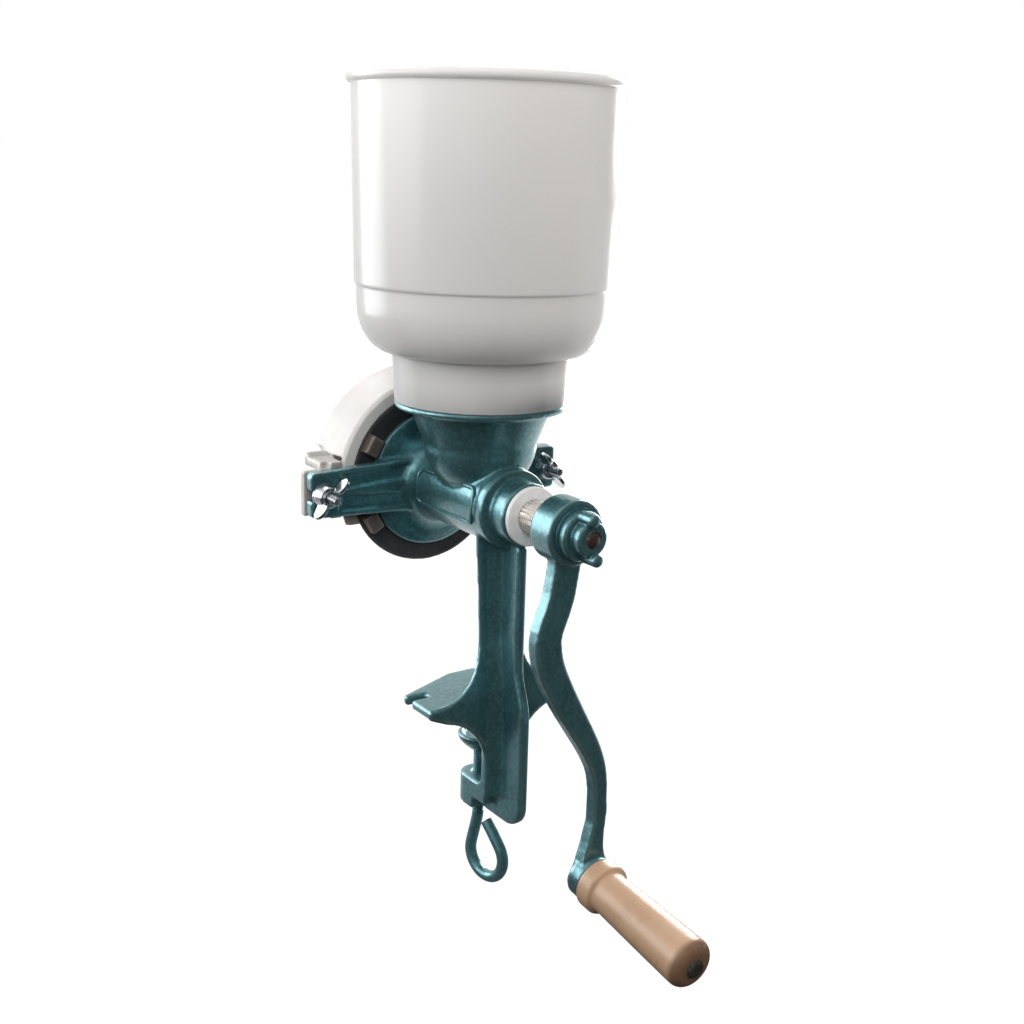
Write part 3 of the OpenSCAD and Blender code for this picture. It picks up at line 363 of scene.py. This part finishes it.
def new_tree(name, **inputs):
    """A geometry tree, and its inputs by name. It gives one mesh."""
    tree = bpy.data.node_groups.new(name, "GeometryNodeTree")
    for label, kind in inputs.items():
        tree.interface.new_socket(label, in_out="INPUT", socket_type="NodeSocket" + kind)
    tree.interface.new_socket("Mesh", in_out="OUTPUT", socket_type="NodeSocketGeometry")
    return tree, add(tree, "NodeGroupInput").outputs


def end_in_sweep(tree, path, sides, radius, finish):
    """Ends a tree with a round section that is swept along a path, smooth and in its finish."""
    section = add(tree, "GeometryNodeCurvePrimitiveCircle", {"Resolution": sides,
                  "Radius": radius}, mode="RADIUS")
    swept = add(tree, "GeometryNodeCurveToMesh", {"Curve": path,
                "Profile Curve": section.outputs[0], "Fill Caps": True})
    smooth = add(tree, "GeometryNodeSetShadeSmooth", {0: swept.outputs[0]})
    whole = add(tree, "GeometryNodeRealizeInstances", {0: smooth.outputs[0]})
    dressed = add(tree, "GeometryNodeSetMaterial", {"Geometry": whole.outputs[0],
                  "Material": finish})
    add(tree, "NodeGroupOutput", {0: dressed.outputs[0]})
    return tree


def sweep_tree(finish):
    """A tree that sweeps a round section along a path."""
    tree, given = new_tree("round_sweep", Path="Geometry", Radius="Float", Sides="Int")
    return end_in_sweep(tree, given["Path"], given["Sides"], given["Radius"], finish)


def from_tree(carrier, tree, **sizes):
    """The plain mesh that a tree makes of a carrier object, which is then removed."""
    modifier = carrier.modifiers.new("tree", "NODES")
    modifier.node_group = tree
    for socket in tree.interface.items_tree:
        if socket.in_out == "INPUT" and socket.name in sizes:
            modifier[socket.identifier] = sizes[socket.name]
    return taken_from(carrier)


bead = from_tree(along_path("bead_path", [Vector(p) + shaft_place for p in bead_points], True),
                 sweep_tree(teal_paint), Radius=bead_r, Sides=10)
as_piece("barrel_plate_border", bead, teal_paint, "mill", "cast_paint")

# Hopper: one blown shell of milky white plastic with a stepped wall and a rolled rim.
# Its neck stands on the funnel's lip round a low iron spigot, seen through it as a painted grey
# shade.
hopper_foot = Vector((0, 8, 198.05)) * MM
neck_r, neck_top_r, neck_h = 55.5, 57.0, 31.0
shoulder_r, shoulder_h, step_r, step_h = 79.6, 62.0, 81.0, 73.0
rim_r, rim_h, bead_rim = 83.0, 195.0, 3.0
wall, wall_bend = 2.4, 1.6
shoulder_foot_r = neck_top_r + 1.5


def softened(points, reach, steps=4):
    """Rounds the corners of an open line of points over a set reach on each side."""
    made = [Vector(points[0])]
    for before, here, after in zip(points, points[1:], points[2:]):
        before, here, after = Vector(before), Vector(here), Vector(after)
        back = min(reach, 0.45 * (before - here).length)
        on = min(reach, 0.45 * (after - here).length)
        start = here + (before - here).normalized() * back
        end = here + (after - here).normalized() * on
        for k in range(steps + 1):
            t = k / steps
            made.append(start * (1 - t) ** 2 + here * 2 * t * (1 - t) + end * t ** 2)
    return made + [Vector(points[-1])]


def turned(profile, placing, segments=128, closed=False):
    """A turned mesh from points of radius and height in mm, about the Z axis of a placing."""
    shape = bmesh.new()
    rings = []
    for k in range(segments):
        a = 2 * math.pi * k / segments
        rings.append([shape.verts.new((p[0] * MM * math.cos(a), p[0] * MM * math.sin(a), p[1] * MM))
                      for p in profile])
    spans = list(zip(range(len(profile) - 1), range(1, len(profile))))
    if closed:
        spans.append((len(profile) - 1, 0))
    for k in range(segments):
        first, second = rings[k], rings[(k + 1) % segments]
        for low, high in spans:
            shape.faces.new((first[low], second[low], second[high], first[high]))
    bmesh.ops.remove_doubles(shape, verts=shape.verts, dist=1e-7)
    bmesh.ops.dissolve_degenerate(shape, edges=shape.edges, dist=1e-8)
    bmesh.ops.recalc_face_normals(shape, faces=shape.faces)
    made = bpy.data.meshes.new("turned")
    shape.to_mesh(made)
    shape.free()
    made.transform(placing)
    smooth_shaded(made, sharp=40)
    return made


def hopper_wall(inset):
    """Radius and height of the wall from its foot to the rim, at a depth inside its outer face."""
    quarter = [math.radians(10 * k) for k in range(10)]
    shoulder = [(shoulder_foot_r - inset + (shoulder_r - shoulder_foot_r) * math.sin(a),
                 shoulder_h - (shoulder_h - neck_h - inset) * math.cos(a)) for a in quarter]
    return [(neck_r - inset, 0), (neck_top_r - inset, neck_h + inset), *shoulder,
            (shoulder_r - inset, step_h), (step_r - inset, step_h + 0.8), (rim_r - inset, rim_h)]


def coordinate(tree, where, axis):
    """A place's X, Y or Z."""
    return add(tree, "ShaderNodeSeparateXYZ", {0: where}).outputs[axis]


outside, inside = (softened(hopper_wall(inset), wall_bend) for inset in (0, wall))
roll = [math.radians(a) for a in range(0, 271, 15)]
rolled = [(rim_r + bead_rim * math.sin(a), rim_h - bead_rim * math.cos(a)) for a in roll]
hopper_line = outside[:-1] + rolled + inside[-2::-1]
milky, tree, shader, where = new_finish("milky_plastic")
cloud = noise(tree, where, 14, 2)
tone = blended(tree, spread(tree, cloud, 0.1, 0.9), (0.835, 0.820, 0.808), (0.855, 0.842, 0.832))
# Painted shade: grey painted low on the neck, with a cloudy top edge, stronger on the side away
# from the window.
height = sums(tree, "ADD", coordinate(tree, where, "Z"), sums(tree, "MULTIPLY", cloud, 8 * MM))
painted_neck_shade = spread(tree, height, hopper_foot.z + 21 * MM, hopper_foot.z + 6 * MM)
away_from_window = spread(tree, coordinate(tree, where, "X"), -35 * MM, 10 * MM, 0.3, 0.85)
painted_neck_shade = sums(tree, "MULTIPLY", painted_neck_shade, away_from_window)
tone = blended(tree, painted_neck_shade, tone, (0.16, 0.18, 0.19))
feed(tree, shader, {"Base Color": tone, "Roughness": spread(tree, cloud, 0.1, 0.9, 0.22, 0.27),
     "Subsurface Weight": 0.5, "Subsurface Radius": (1.0, 0.97, 0.94),
     "Subsurface Scale": 12 * MM})
relief(tree, shader, noise(tree, where, 45, 1), 0.2, 0.10)
hopper_shell = turned(hopper_line, Matrix.Translation(hopper_foot), 160, closed=True)
as_piece("hopper_shell", hopper_shell, milky, "hopper", "hopper_white", "hopper")

# Front bush: a turned white plastic sleeve with a flange, pressed into the bearing boss.
# Only the flange and the face round the shaft can be seen.
bush_face, bush_seat, bush_end = -61.6, -58.05, -28.5
bush_bore, bush_sleeve_r, bush_flange_r = 11.06, 15.0, 18.9
bush_line = softened([(bush_bore, bush_end), (bush_bore, bush_face), (bush_flange_r, bush_face),
                      (bush_flange_r, bush_seat), (bush_sleeve_r, bush_seat),
                      (bush_sleeve_r, bush_end), (bush_bore, bush_end)], 0.7)[:-1]
bush_white, tree, shader, where = new_finish("bush_plastic")
smear = noise(tree, where, 220, 3)
tone = blended(tree, spread(tree, smear, 0.35, 0.75), (0.90, 0.90, 0.89), (0.80, 0.80, 0.80))
feed(tree, shader, {"Base Color": tone, "Roughness": spread(tree, smear, 0.3, 0.7, 0.3, 0.42),
     "Subsurface Weight": 0.15, "Subsurface Scale": 3 * MM})
relief(tree, shader, noise(tree, where, 1200, 2), 0.05, 0.3)
to_rear = Matrix.Rotation(-math.pi / 2, 4, "X")
on_shaft = Matrix.Translation(shaft_place) @ to_rear
as_piece("front_bush_sleeve", turned(bush_line, on_shaft, closed=True), bush_white,
         "mill", "bush_white", "front_bush")

# Drive shaft with its worm and drive pin: turned steel, bright where it is ground for the bush.
# The worm is a casting on the shaft, and the pin locks the rotating disc to the rear square.
thread_front, thread_rear = -123.6 * MM, -107.6 * MM
thread_crest, thread_depth, thread_pitch, thread_long = 5.5 * MM, 0.75 * MM, 1.5 * MM, 14 * MM
bright_end, rusty_end = shaft_place.y - 121.0 * MM, shaft_place.y - 122.6 * MM
shaft_steel, tree, shader, where = new_finish("ground_steel")
stretched = add(tree, "ShaderNodeMapping", {"Vector": where, "Scale": (1, 14, 1)}).outputs[0]
rings, stain = noise(tree, stretched, 260, 3), noise(tree, where, 90, 3)
tone = blended(tree, spread(tree, rings, 0.3, 0.7), (0.80, 0.74, 0.68), (0.86, 0.81, 0.76))
tone = blended(tree, spread(tree, stain, 0.55, 0.8, 0, 0.4), tone, (0.50, 0.38, 0.28))
rusted = spread(tree, coordinate(tree, where, "Y"), bright_end, rusty_end, 0, 0.95)
tone = blended(tree, rusted, tone, (0.055, 0.032, 0.026))
feed(tree, shader, {"Base Color": tone, "Roughness": spread(tree, rings, 0.3, 0.7, 0.22, 0.36),
     "Metallic": 0.6})
relief(tree, shader, rings, 0.01, 0.15)


def thread_tree(finish):
    """A tree that winds a ridge along Z."""
    tree, given = new_tree("wound_thread", Geometry="Geometry", Crest="Float", Depth="Float",
                           Pitch="Float", Length="Float")
    half = sums(tree, "MULTIPLY", given["Depth"], 0.62)
    middle = sums(tree, "SUBTRACT", given["Crest"], half)
    turns = sums(tree, "DIVIDE", given["Length"], given["Pitch"])
    coil = add(tree, "GeometryNodeCurveSpiral", {"Resolution": 24, "Rotations": turns,
               "Start Radius": middle, "End Radius": middle, "Height": given["Length"]})
    return end_in_sweep(tree, coil.outputs[0], 6, half, finish)


def wound(finish, crest, depth, pitch, length, placing, start):
    """A thread's ridge along the Z axis of a placing, from a start on it."""
    blank = linked("blank", bpy.data.meshes.new("blank"))
    made = from_tree(blank, thread_tree(finish), Crest=crest, Depth=depth, Pitch=pitch,
                     Length=length)
    made.transform(placing @ Matrix.Translation((0, 0, start)))
    return made


def necked(node, low, high, reach, less):
    """A node's mesh, drawn in by a depth between two stations along the shaft where its radius
    is under a reach."""
    mesh = merged_copy(node)
    for spot in mesh.vertices:
        station = spot.co.y - shaft_place.y
        off = Vector((spot.co.x, 0, spot.co.z - shaft_place.z))
        if low <= station <= high and 0.6 * reach < off.length < reach + 0.01 * MM:
            drawn = off * (1 - less / off.length)
            spot.co = Vector((drawn.x, spot.co.y, drawn.z + shaft_place.z))
    smooth_shaded(mesh, sharp=35)
    return mesh


as_piece("shaft_turned", necked("drive_shaft", thread_front - MM, thread_rear + 2 * MM,
                                thread_crest, thread_depth),
         shaft_steel, "rotor", "shaft_steel", "drive_shaft")
as_piece("shaft_thread", wound(shaft_steel, thread_crest, thread_depth, thread_pitch, thread_long,
                               on_shaft, thread_front + 0.8 * MM),
         shaft_steel, "rotor", "shaft_steel")
worm_iron, tree, shader, where = new_finish("worm_casting")
pits = noise(tree, where, 420, 4, 0.6)
tone = blended(tree, spread(tree, pits, 0.3, 0.7), (0.20, 0.19, 0.18), (0.36, 0.35, 0.34))
feed(tree, shader, {"Base Color": tone, "Roughness": spread(tree, pits, 0.3, 0.7, 0.4, 0.6),
     "Metallic": 0.85})
relief(tree, shader, pits, 0.15, 0.5)


def dress(node, finish):
    """Gives a CAD node that stays in view its finish."""
    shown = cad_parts[node]
    shown.data.materials.clear()
    shown.data.materials.append(finish)


dress("feed_worm", worm_iron)
dress("drive_pin", shaft_steel)

# Grinding discs: two chilled iron castings with furrowed faces, left bare.
# The fixed one hangs on the flange by four lugs, and the other turns with the shaft.
disc_face = shaft_place.y + 63 * MM
disc_iron, tree, shader, where = new_finish("disc_casting")
pits, flour = noise(tree, where, 650, 4, 0.65), noise(tree, where, 60, 3)
tone = blended(tree, spread(tree, pits, 0.3, 0.7), (0.030, 0.032, 0.038), (0.075, 0.074, 0.080))
tone = blended(tree, spread(tree, flour, 0.5, 0.75, 0, 0.3), tone, (0.10, 0.085, 0.075))
on_lug = spread(tree, coordinate(tree, where, "Y"), disc_face - 0.4 * MM, disc_face - 1.4 * MM,
                0, 0.75)
tone = blended(tree, on_lug, tone, (0.19, 0.145, 0.125))
tone = blended(tree, rubbed(tree, 0.5), tone, (0.34, 0.29, 0.26))
feed(tree, shader, {"Base Color": tone, "Roughness": spread(tree, pits, 0.3, 0.7, 0.42, 0.62),
     "Metallic": 0.4})
relief(tree, shader, pits, 0.22, 0.7)
disc_skin = cast_skin(merged_copy("fixed_disc"), voxel=0.9, fillet=1.3, edge=0.9, steps=25)
as_piece("fixed_disc_casting", disc_skin, disc_iron, "mill", "disc_iron", "fixed_disc")
dress("rotating_disc", disc_iron)

# Thrust ball: a polished bearing ball between the shaft's rear end and the adjusting screw.
# It takes the shaft's push on the screw with little friction.
ball_steel, tree, shader, where = new_finish("bearing_steel")
haze = noise(tree, where, 300, 2)
tone = blended(tree, haze, (0.60, 0.61, 0.62), (0.72, 0.72, 0.72))
feed(tree, shader, {"Base Color": tone, "Roughness": spread(tree, haze, 0.3, 0.7, 0.10, 0.2),
     "Metallic": 1})
dress("thrust_ball", ball_steel)

# Guard: a thin hood of white plastic over the discs, open below, with a band round the fixed disc.
# Its edges are moulded with a small radius and are a little grey with handling.
guard_white, tree, shader, where = new_finish("guard_plastic")
dust = noise(tree, where, 70, 3)
tone = blended(tree, spread(tree, dust, 0.35, 0.75), (0.85, 0.845, 0.835), (0.79, 0.775, 0.755))
tone = blended(tree, rubbed(tree, 0.35), tone, (0.52, 0.49, 0.46))
# Painted shade: the guard is painted a darker brown low down, below the shaft, where it lies in
# shade.
tip = spread(tree, coordinate(tree, where, "Z"), shaft_place.z - 12 * MM, shaft_place.z - 20 * MM,
             0, 0.85)
tone = blended(tree, tip, tone, (0.42, 0.36, 0.30))
feed(tree, shader, {"Base Color": tone, "Roughness": spread(tree, dust, 0.3, 0.7, 0.32, 0.45),
     "Subsurface Weight": 0.15, "Subsurface Scale": 4 * MM})
relief(tree, shader, noise(tree, where, 500, 2), 0.05, 0.3)
guard_skin = cast_skin(merged_copy("guard"), voxel=0.7, fillet=1.0, edge=0.7, steps=15)
as_piece("guard_hood", guard_skin, guard_white, "mill", "guard_white", "guard")

# Bridge: a bare iron bow behind the discs that carries the adjusting screw, as it left the sand.
# Its two feet stand behind the arms and are drawn up by the studs.
bridge_iron, tree, shader, where = new_finish("raw_casting")
sand, patch = noise(tree, where, 900, 4, 0.7), noise(tree, where, 80, 3)
tone = blended(tree, spread(tree, sand, 0.3, 0.7), (0.40, 0.385, 0.37), (0.58, 0.56, 0.53))
tone = blended(tree, spread(tree, patch, 0.5, 0.75, 0, 0.55), tone, (0.62, 0.54, 0.45))
tone = blended(tree, rubbed(tree, 0.5), tone, (0.80, 0.77, 0.72))
feed(tree, shader, {"Base Color": tone, "Roughness": spread(tree, sand, 0.3, 0.7, 0.45, 0.65),
     "Metallic": 0.35})
relief(tree, shader, sand, 0.25, 0.7)
bridge_skin = cast_skin(merged_copy("bridge"), voxel=1.1, fillet=3.0, edge=1.2, steps=45)
as_piece("bridge_casting", bridge_skin, bridge_iron, "mill", "bridge_iron", "bridge")

# Adjusting screw and lock nut: dull steel. The screw has a threaded shank and a forged thumb head,
# and pushes on the ball; the nut jams it against the bridge's boss.
shank_tip = (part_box("adjusting_screw")[0].y - shaft_place.y) / MM
shank_end = shank_tip + 38.25
screw_crest, screw_depth, screw_pitch, screw_thread_long = 6.0, 0.9, 1.75, 35
dull_steel, tree, shader, where = new_finish("dull_steel")
scale_marks, stain = noise(tree, where, 500, 4, 0.6), noise(tree, where, 120, 3)
tone = blended(tree, spread(tree, scale_marks, 0.3, 0.7), (0.26, 0.25, 0.235), (0.42, 0.40, 0.38))
tone = blended(tree, spread(tree, stain, 0.55, 0.8, 0, 0.5), tone, (0.25, 0.16, 0.10))
feed(tree, shader, {"Base Color": tone,
     "Roughness": spread(tree, scale_marks, 0.3, 0.7, 0.35, 0.5), "Metallic": 0.9})
relief(tree, shader, scale_marks, 0.08, 0.5)


def rear_of(node, station):
    """The part of a node behind a station along the shaft, closed where it is cut."""
    mesh = merged_copy(node)
    shape = bmesh.new()
    shape.from_mesh(mesh)
    cut = bmesh.ops.bisect_plane(shape, geom=[*shape.verts, *shape.edges, *shape.faces],
                                 plane_co=(0, shaft_place.y + station * MM, 0),
                                 plane_no=(0, 1, 0), clear_inner=True)
    rim = [e for e in cut["geom_cut"] if isinstance(e, bmesh.types.BMEdge)]
    bmesh.ops.edgenet_fill(shape, edges=rim)
    bmesh.ops.recalc_face_normals(shape, faces=shape.faces)
    shape.to_mesh(mesh)
    shape.free()
    return mesh


def round_bar(radius, low, high, ease, placing, segments):
    """A round bar between two stations in mm on the Z axis of a placing, with eased ends."""
    line = softened([(0, low), (radius, low), (radius, high), (0, high)], ease)
    return turned(line, placing, segments)


head_skin = cast_skin(rear_of("adjusting_screw", shank_end - 1.5), voxel=0.5, fillet=2.0, edge=1.0,
                      steps=40)
as_piece("adjuster_head", head_skin, dull_steel, "adjuster", "bridge_iron", "adjusting_screw")
as_piece("adjuster_shank", round_bar(screw_crest - screw_depth, shank_tip, shank_end, 0.8,
                                     on_shaft, 64), dull_steel, "adjuster", "bridge_iron")
as_piece("adjuster_thread", wound(dull_steel, screw_crest * MM, screw_depth * MM, screw_pitch * MM,
                                  screw_thread_long * MM, on_shaft, (shank_tip + 1.5) * MM),
         dull_steel, "adjuster", "bridge_iron")
nut_skin = cast_skin(merged_copy("lock_nut"), voxel=0.4, fillet=0.8, edge=0.7, steps=20)
as_piece("lock_nut_hexagon", nut_skin, dull_steel, "lock_nut", "bridge_iron", "lock_nut")

# Studs, washers and wing nuts: zinc plated steel. Each stud's square head is behind the bridge's
# foot, its thread passes through the arm, and a pressed wing nut draws the two together.
stud_x, stud_front, stud_rear = 88.0, 28.5, 62.3
stud_crest, stud_depth, stud_pitch, stud_thread_long = 3.0, 0.45, 1.0, 27
head_half, head_front, head_rear, head_ease = 5.0, 62.0, 66.0, 0.5
washer_front, washer_rear, washer_bore, washer_r = 46.55, 47.95, 3.06, 8.5
zinc, tree, shader, where = new_finish("zinc_plate")
spangle, film = noise(tree, where, 700, 3, 0.6), noise(tree, where, 160, 3)
tone = blended(tree, spread(tree, spangle, 0.3, 0.7), (0.50, 0.53, 0.56), (0.74, 0.77, 0.80))
tone = blended(tree, spread(tree, film, 0.5, 0.75, 0, 0.4), tone, (0.36, 0.39, 0.42))
feed(tree, shader, {"Base Color": tone, "Roughness": spread(tree, film, 0.3, 0.7, 0.16, 0.3),
     "Metallic": 1})
relief(tree, shader, spangle, 0.05, 0.4)


def joined(*meshes):
    """Several meshes as one."""
    shape = bmesh.new()
    for mesh in meshes:
        shape.from_mesh(mesh)
    made = bpy.data.meshes.new("joined")
    shape.to_mesh(made)
    shape.free()
    return made


def square_head(placing):
    """A square head with eased edges, on the Z axis of a placing."""
    shape = bmesh.new()
    bmesh.ops.create_cube(shape, size=1)
    bmesh.ops.scale(shape, verts=shape.verts,
                    vec=(2 * head_half * MM, 2 * head_half * MM, (head_rear - head_front) * MM))
    bmesh.ops.translate(shape, verts=shape.verts, vec=(0, 0, (head_front + head_rear) / 2 * MM))
    bmesh.ops.bevel(shape, geom=shape.edges[:], offset=head_ease * MM, segments=2, profile=0.5,
                    affect="EDGES")
    made = bpy.data.meshes.new("square_head")
    shape.to_mesh(made)
    shape.free()
    made.transform(placing)
    return made


def flat_ring(bore, radius, rear, front, placing, segments):
    """A washer with eased edges between two stations in mm on the Z axis of a placing."""
    line = softened([(bore, rear), (bore, front), (radius, front), (radius, rear), (bore, rear)],
                    0.3)[:-1]
    return turned(line, placing, segments, closed=True)


at_studs = {side: Matrix.Translation((x * MM, 0, 0)) @ on_shaft
            for side, x in (("left", -stud_x), ("right", stud_x))}
stud_bodies = [mesh for placing in at_studs.values() for mesh in (
    round_bar(stud_crest - stud_depth, stud_front, stud_rear, 0.6, placing, 48),
    square_head(placing))]
stud_threads = [wound(zinc, stud_crest * MM, stud_depth * MM, stud_pitch * MM,
                      stud_thread_long * MM, placing, (stud_front + 0.7) * MM)
                for placing in at_studs.values()]
as_piece("stud_bodies", joined(*stud_bodies), zinc, "mill", "zinc_steel", "stud_bolts")
as_piece("stud_threads", joined(*stud_threads), zinc, "mill", "zinc_steel")
for side, placing in at_studs.items():
    ring = flat_ring(washer_bore, washer_r, washer_rear, washer_front, placing, 64)
    as_piece(f"washer_{side}_ring", ring, zinc, f"washer_{side}", "zinc_steel", f"washer_{side}")
    wing_skin = cast_skin(merged_copy(f"wing_nut_{side}"), voxel=0.34, fillet=1.6, edge=0.7,
                          steps=40)
    as_piece(f"wing_nut_{side}_pressing", wing_skin, zinc, f"wing_{side}", "zinc_steel",
             f"wing_nut_{side}")

# Crank arm: an iron casting in an S with a hub on the shaft's square and an eye for the grip's pin.
# Its edges are well rounded for the hand, and it has the body's hammer paint.
crank_skin = cast_skin(merged_copy("crank_arm"), voxel=0.8, fillet=5.0, edge=2.6, steps=70)
as_piece("crank_casting", crank_skin, teal_paint, "rotor", "cast_paint", "crank_arm")

# Crank washer and claw nut: a plain washer, and a cast nut with two claws to tap it tight.
# Both are painted with the crank.
ring_bore, ring_r, ring_rear, ring_front = 5.8, 16.5, -106.15, -107.55
hub_washer = flat_ring(ring_bore, ring_r, ring_rear, ring_front, on_shaft, 96)
as_piece("crank_washer_ring", hub_washer, teal_paint, "crank_washer", "zinc_steel", "crank_washer")
claw_skin = cast_skin(merged_copy("claw_nut"), voxel=0.45, fillet=1.5, edge=1.0, steps=40)
as_piece("claw_nut_casting", claw_skin, teal_paint, "claw_nut", "cast_paint", "claw_nut")

# Grip and its pin: a turned grip of tan plastic that spins on a steel pin.
# The pin's front end is riveted over by hammer, and its dome shows rough in the grip's end.
crank_lean, grip_droop = math.radians(-6.7), math.radians(7.5)
pin_on_crank = Vector((0, -103.1, -239.5)) * MM
pin_frame = (Matrix.Translation(shaft_place) @ Matrix.Rotation(crank_lean, 4, "Y")
             @ Matrix.Translation(pin_on_crank) @ Matrix.Rotation(grip_droop, 4, "X") @ to_rear)
grip_rear, grip_front = -2.55, -97.55
collar_r, waist_r, fat_r, bore_r, end_r = 17.25, 13.9, 16.2, 4.56, 7.0
waist = grip_rear - 12.5
middle_r, middle = waist_r + (fat_r - waist_r) * 0.6, (waist + grip_front) / 2
grip_line = softened([(collar_r - 1.2, grip_rear), (collar_r, grip_rear - 1.2),
                      (collar_r, waist + 1.8), (collar_r - 1.0, waist + 0.6),
                      (waist_r + 0.9, waist), (waist_r, waist - 1.0), (middle_r, middle),
                      (fat_r, grip_front + end_r + 3)], 1.6)
grip_line += [(fat_r - end_r + end_r * math.cos(a), grip_front + end_r - end_r * math.sin(a))
              for a in (math.radians(10 * k) for k in range(10))]
grip_line = [(bore_r, grip_rear), *grip_line, (bore_r, grip_front)]
tan_plastic, tree, shader, where = new_finish("tan_plastic")
pin_axis = pin_frame.to_3x3() @ Vector((0, 0, 1))
end_station = (pin_frame @ Vector((0, 0, grip_front * MM))).dot(pin_axis)
swirl = noise(tree, where, 55, 3)
tone = blended(tree, spread(tree, swirl, 0.3, 0.7), (0.54, 0.350, 0.225), (0.60, 0.400, 0.265))
# Painted shade: the grip's last few mm at its front end are painted dark brown.
painted_end_shade = spread(tree, measured(tree, where, pin_axis), end_station + 8 * MM,
                  end_station + 4 * MM, 0, 0.8)
tone = blended(tree, painted_end_shade, tone, (0.15, 0.075, 0.042))
feed(tree, shader, {"Base Color": tone, "Roughness": spread(tree, swirl, 0.3, 0.7, 0.26, 0.34),
     "Subsurface Weight": 0.08, "Subsurface Scale": 3 * MM})
relief(tree, shader, noise(tree, where, 120, 1), 0.05, 0.08)
as_piece("grip_turned", turned(grip_line, pin_frame, 96, closed=True), tan_plastic,
         "grip", "grip_tan", "grip")
hammered, tree, shader, where = new_finish("hammered_rivet")
blows = noise(tree, where, 900, 4, 0.7)
tone = blended(tree, spread(tree, blows, 0.3, 0.7), (0.035, 0.038, 0.036), (0.26, 0.26, 0.25))
feed(tree, shader, {"Base Color": tone, "Roughness": spread(tree, blows, 0.3, 0.7, 0.35, 0.6),
     "Metallic": 0.85})
relief(tree, shader, blows, 0.5, 1.0)
pin_skin = cast_skin(merged_copy("grip_pin"), voxel=0.45, fillet=1.0, edge=1.2, steps=30)
as_piece("grip_pin_rivet", pin_skin, hammered, "rotor", "rivet_steel", "grip_pin")

# Clamp screw and pad: a painted steel rod, threaded above and bent into an open eye for the
# fingers. The cup-shaped pad swivels on its tip and bears on the table's underside.
rod_r, rod_thread, rod_pitch, rod_thread_long = 4.0, 0.55, 1.25, 52
rod_tip, eye_neck = -33.05, -89.0
eye_r, eye_turn = 16.0, math.radians(-80)
eye_middle, cut_end = (9.6, eye_neck - 45 + eye_r), (8.4, eye_neck - 4)
bend_start, bend_sweep, bend_steps = 163, 237, 24
bend_angles = [math.radians(bend_start + bend_sweep * k / bend_steps)
               for k in range(bend_steps + 1)]
eye_line = [(0, eye_neck + 0.2), (0, eye_neck - 0.6), (-0.4, eye_neck - 4)]
eye_line += [(eye_middle[0] + eye_r * math.cos(a), eye_middle[1] + eye_r * math.sin(a))
             for a in bend_angles]
eye_line += [(cut_end[0] + 6, cut_end[1] - 6), (cut_end[0] + 2, cut_end[1] - 2), cut_end]
eye_points = [Vector((u * math.cos(eye_turn), u * math.sin(eye_turn), z)) * MM
              for u, z in softened(eye_line, 6, 3)]
eye = from_tree(along_path("eye_path", eye_points, False), sweep_tree(teal_paint),
                Radius=rod_r * MM, Sides=24)
upright = Matrix.Identity(4)
as_piece("clamp_eye", eye, teal_paint, "clamp_screw", "cast_paint", "clamp_screw")
as_piece("clamp_rod", round_bar(rod_r - rod_thread, eye_neck, rod_tip, 0.8, upright, 48),
         teal_paint, "clamp_screw", "cast_paint")
as_piece("clamp_thread", wound(teal_paint, rod_r * MM, rod_thread * MM, rod_pitch * MM,
                               rod_thread_long * MM, upright, (eye_neck + 1) * MM),
         teal_paint, "clamp_screw", "cast_paint")
pad_skin = cast_skin(merged_copy("clamp_pad"), voxel=0.5, fillet=1.5, edge=0.9, steps=30)
as_piece("clamp_pad_cup", pad_skin, teal_paint, "clamp_pad", "cast_paint", "clamp_pad")
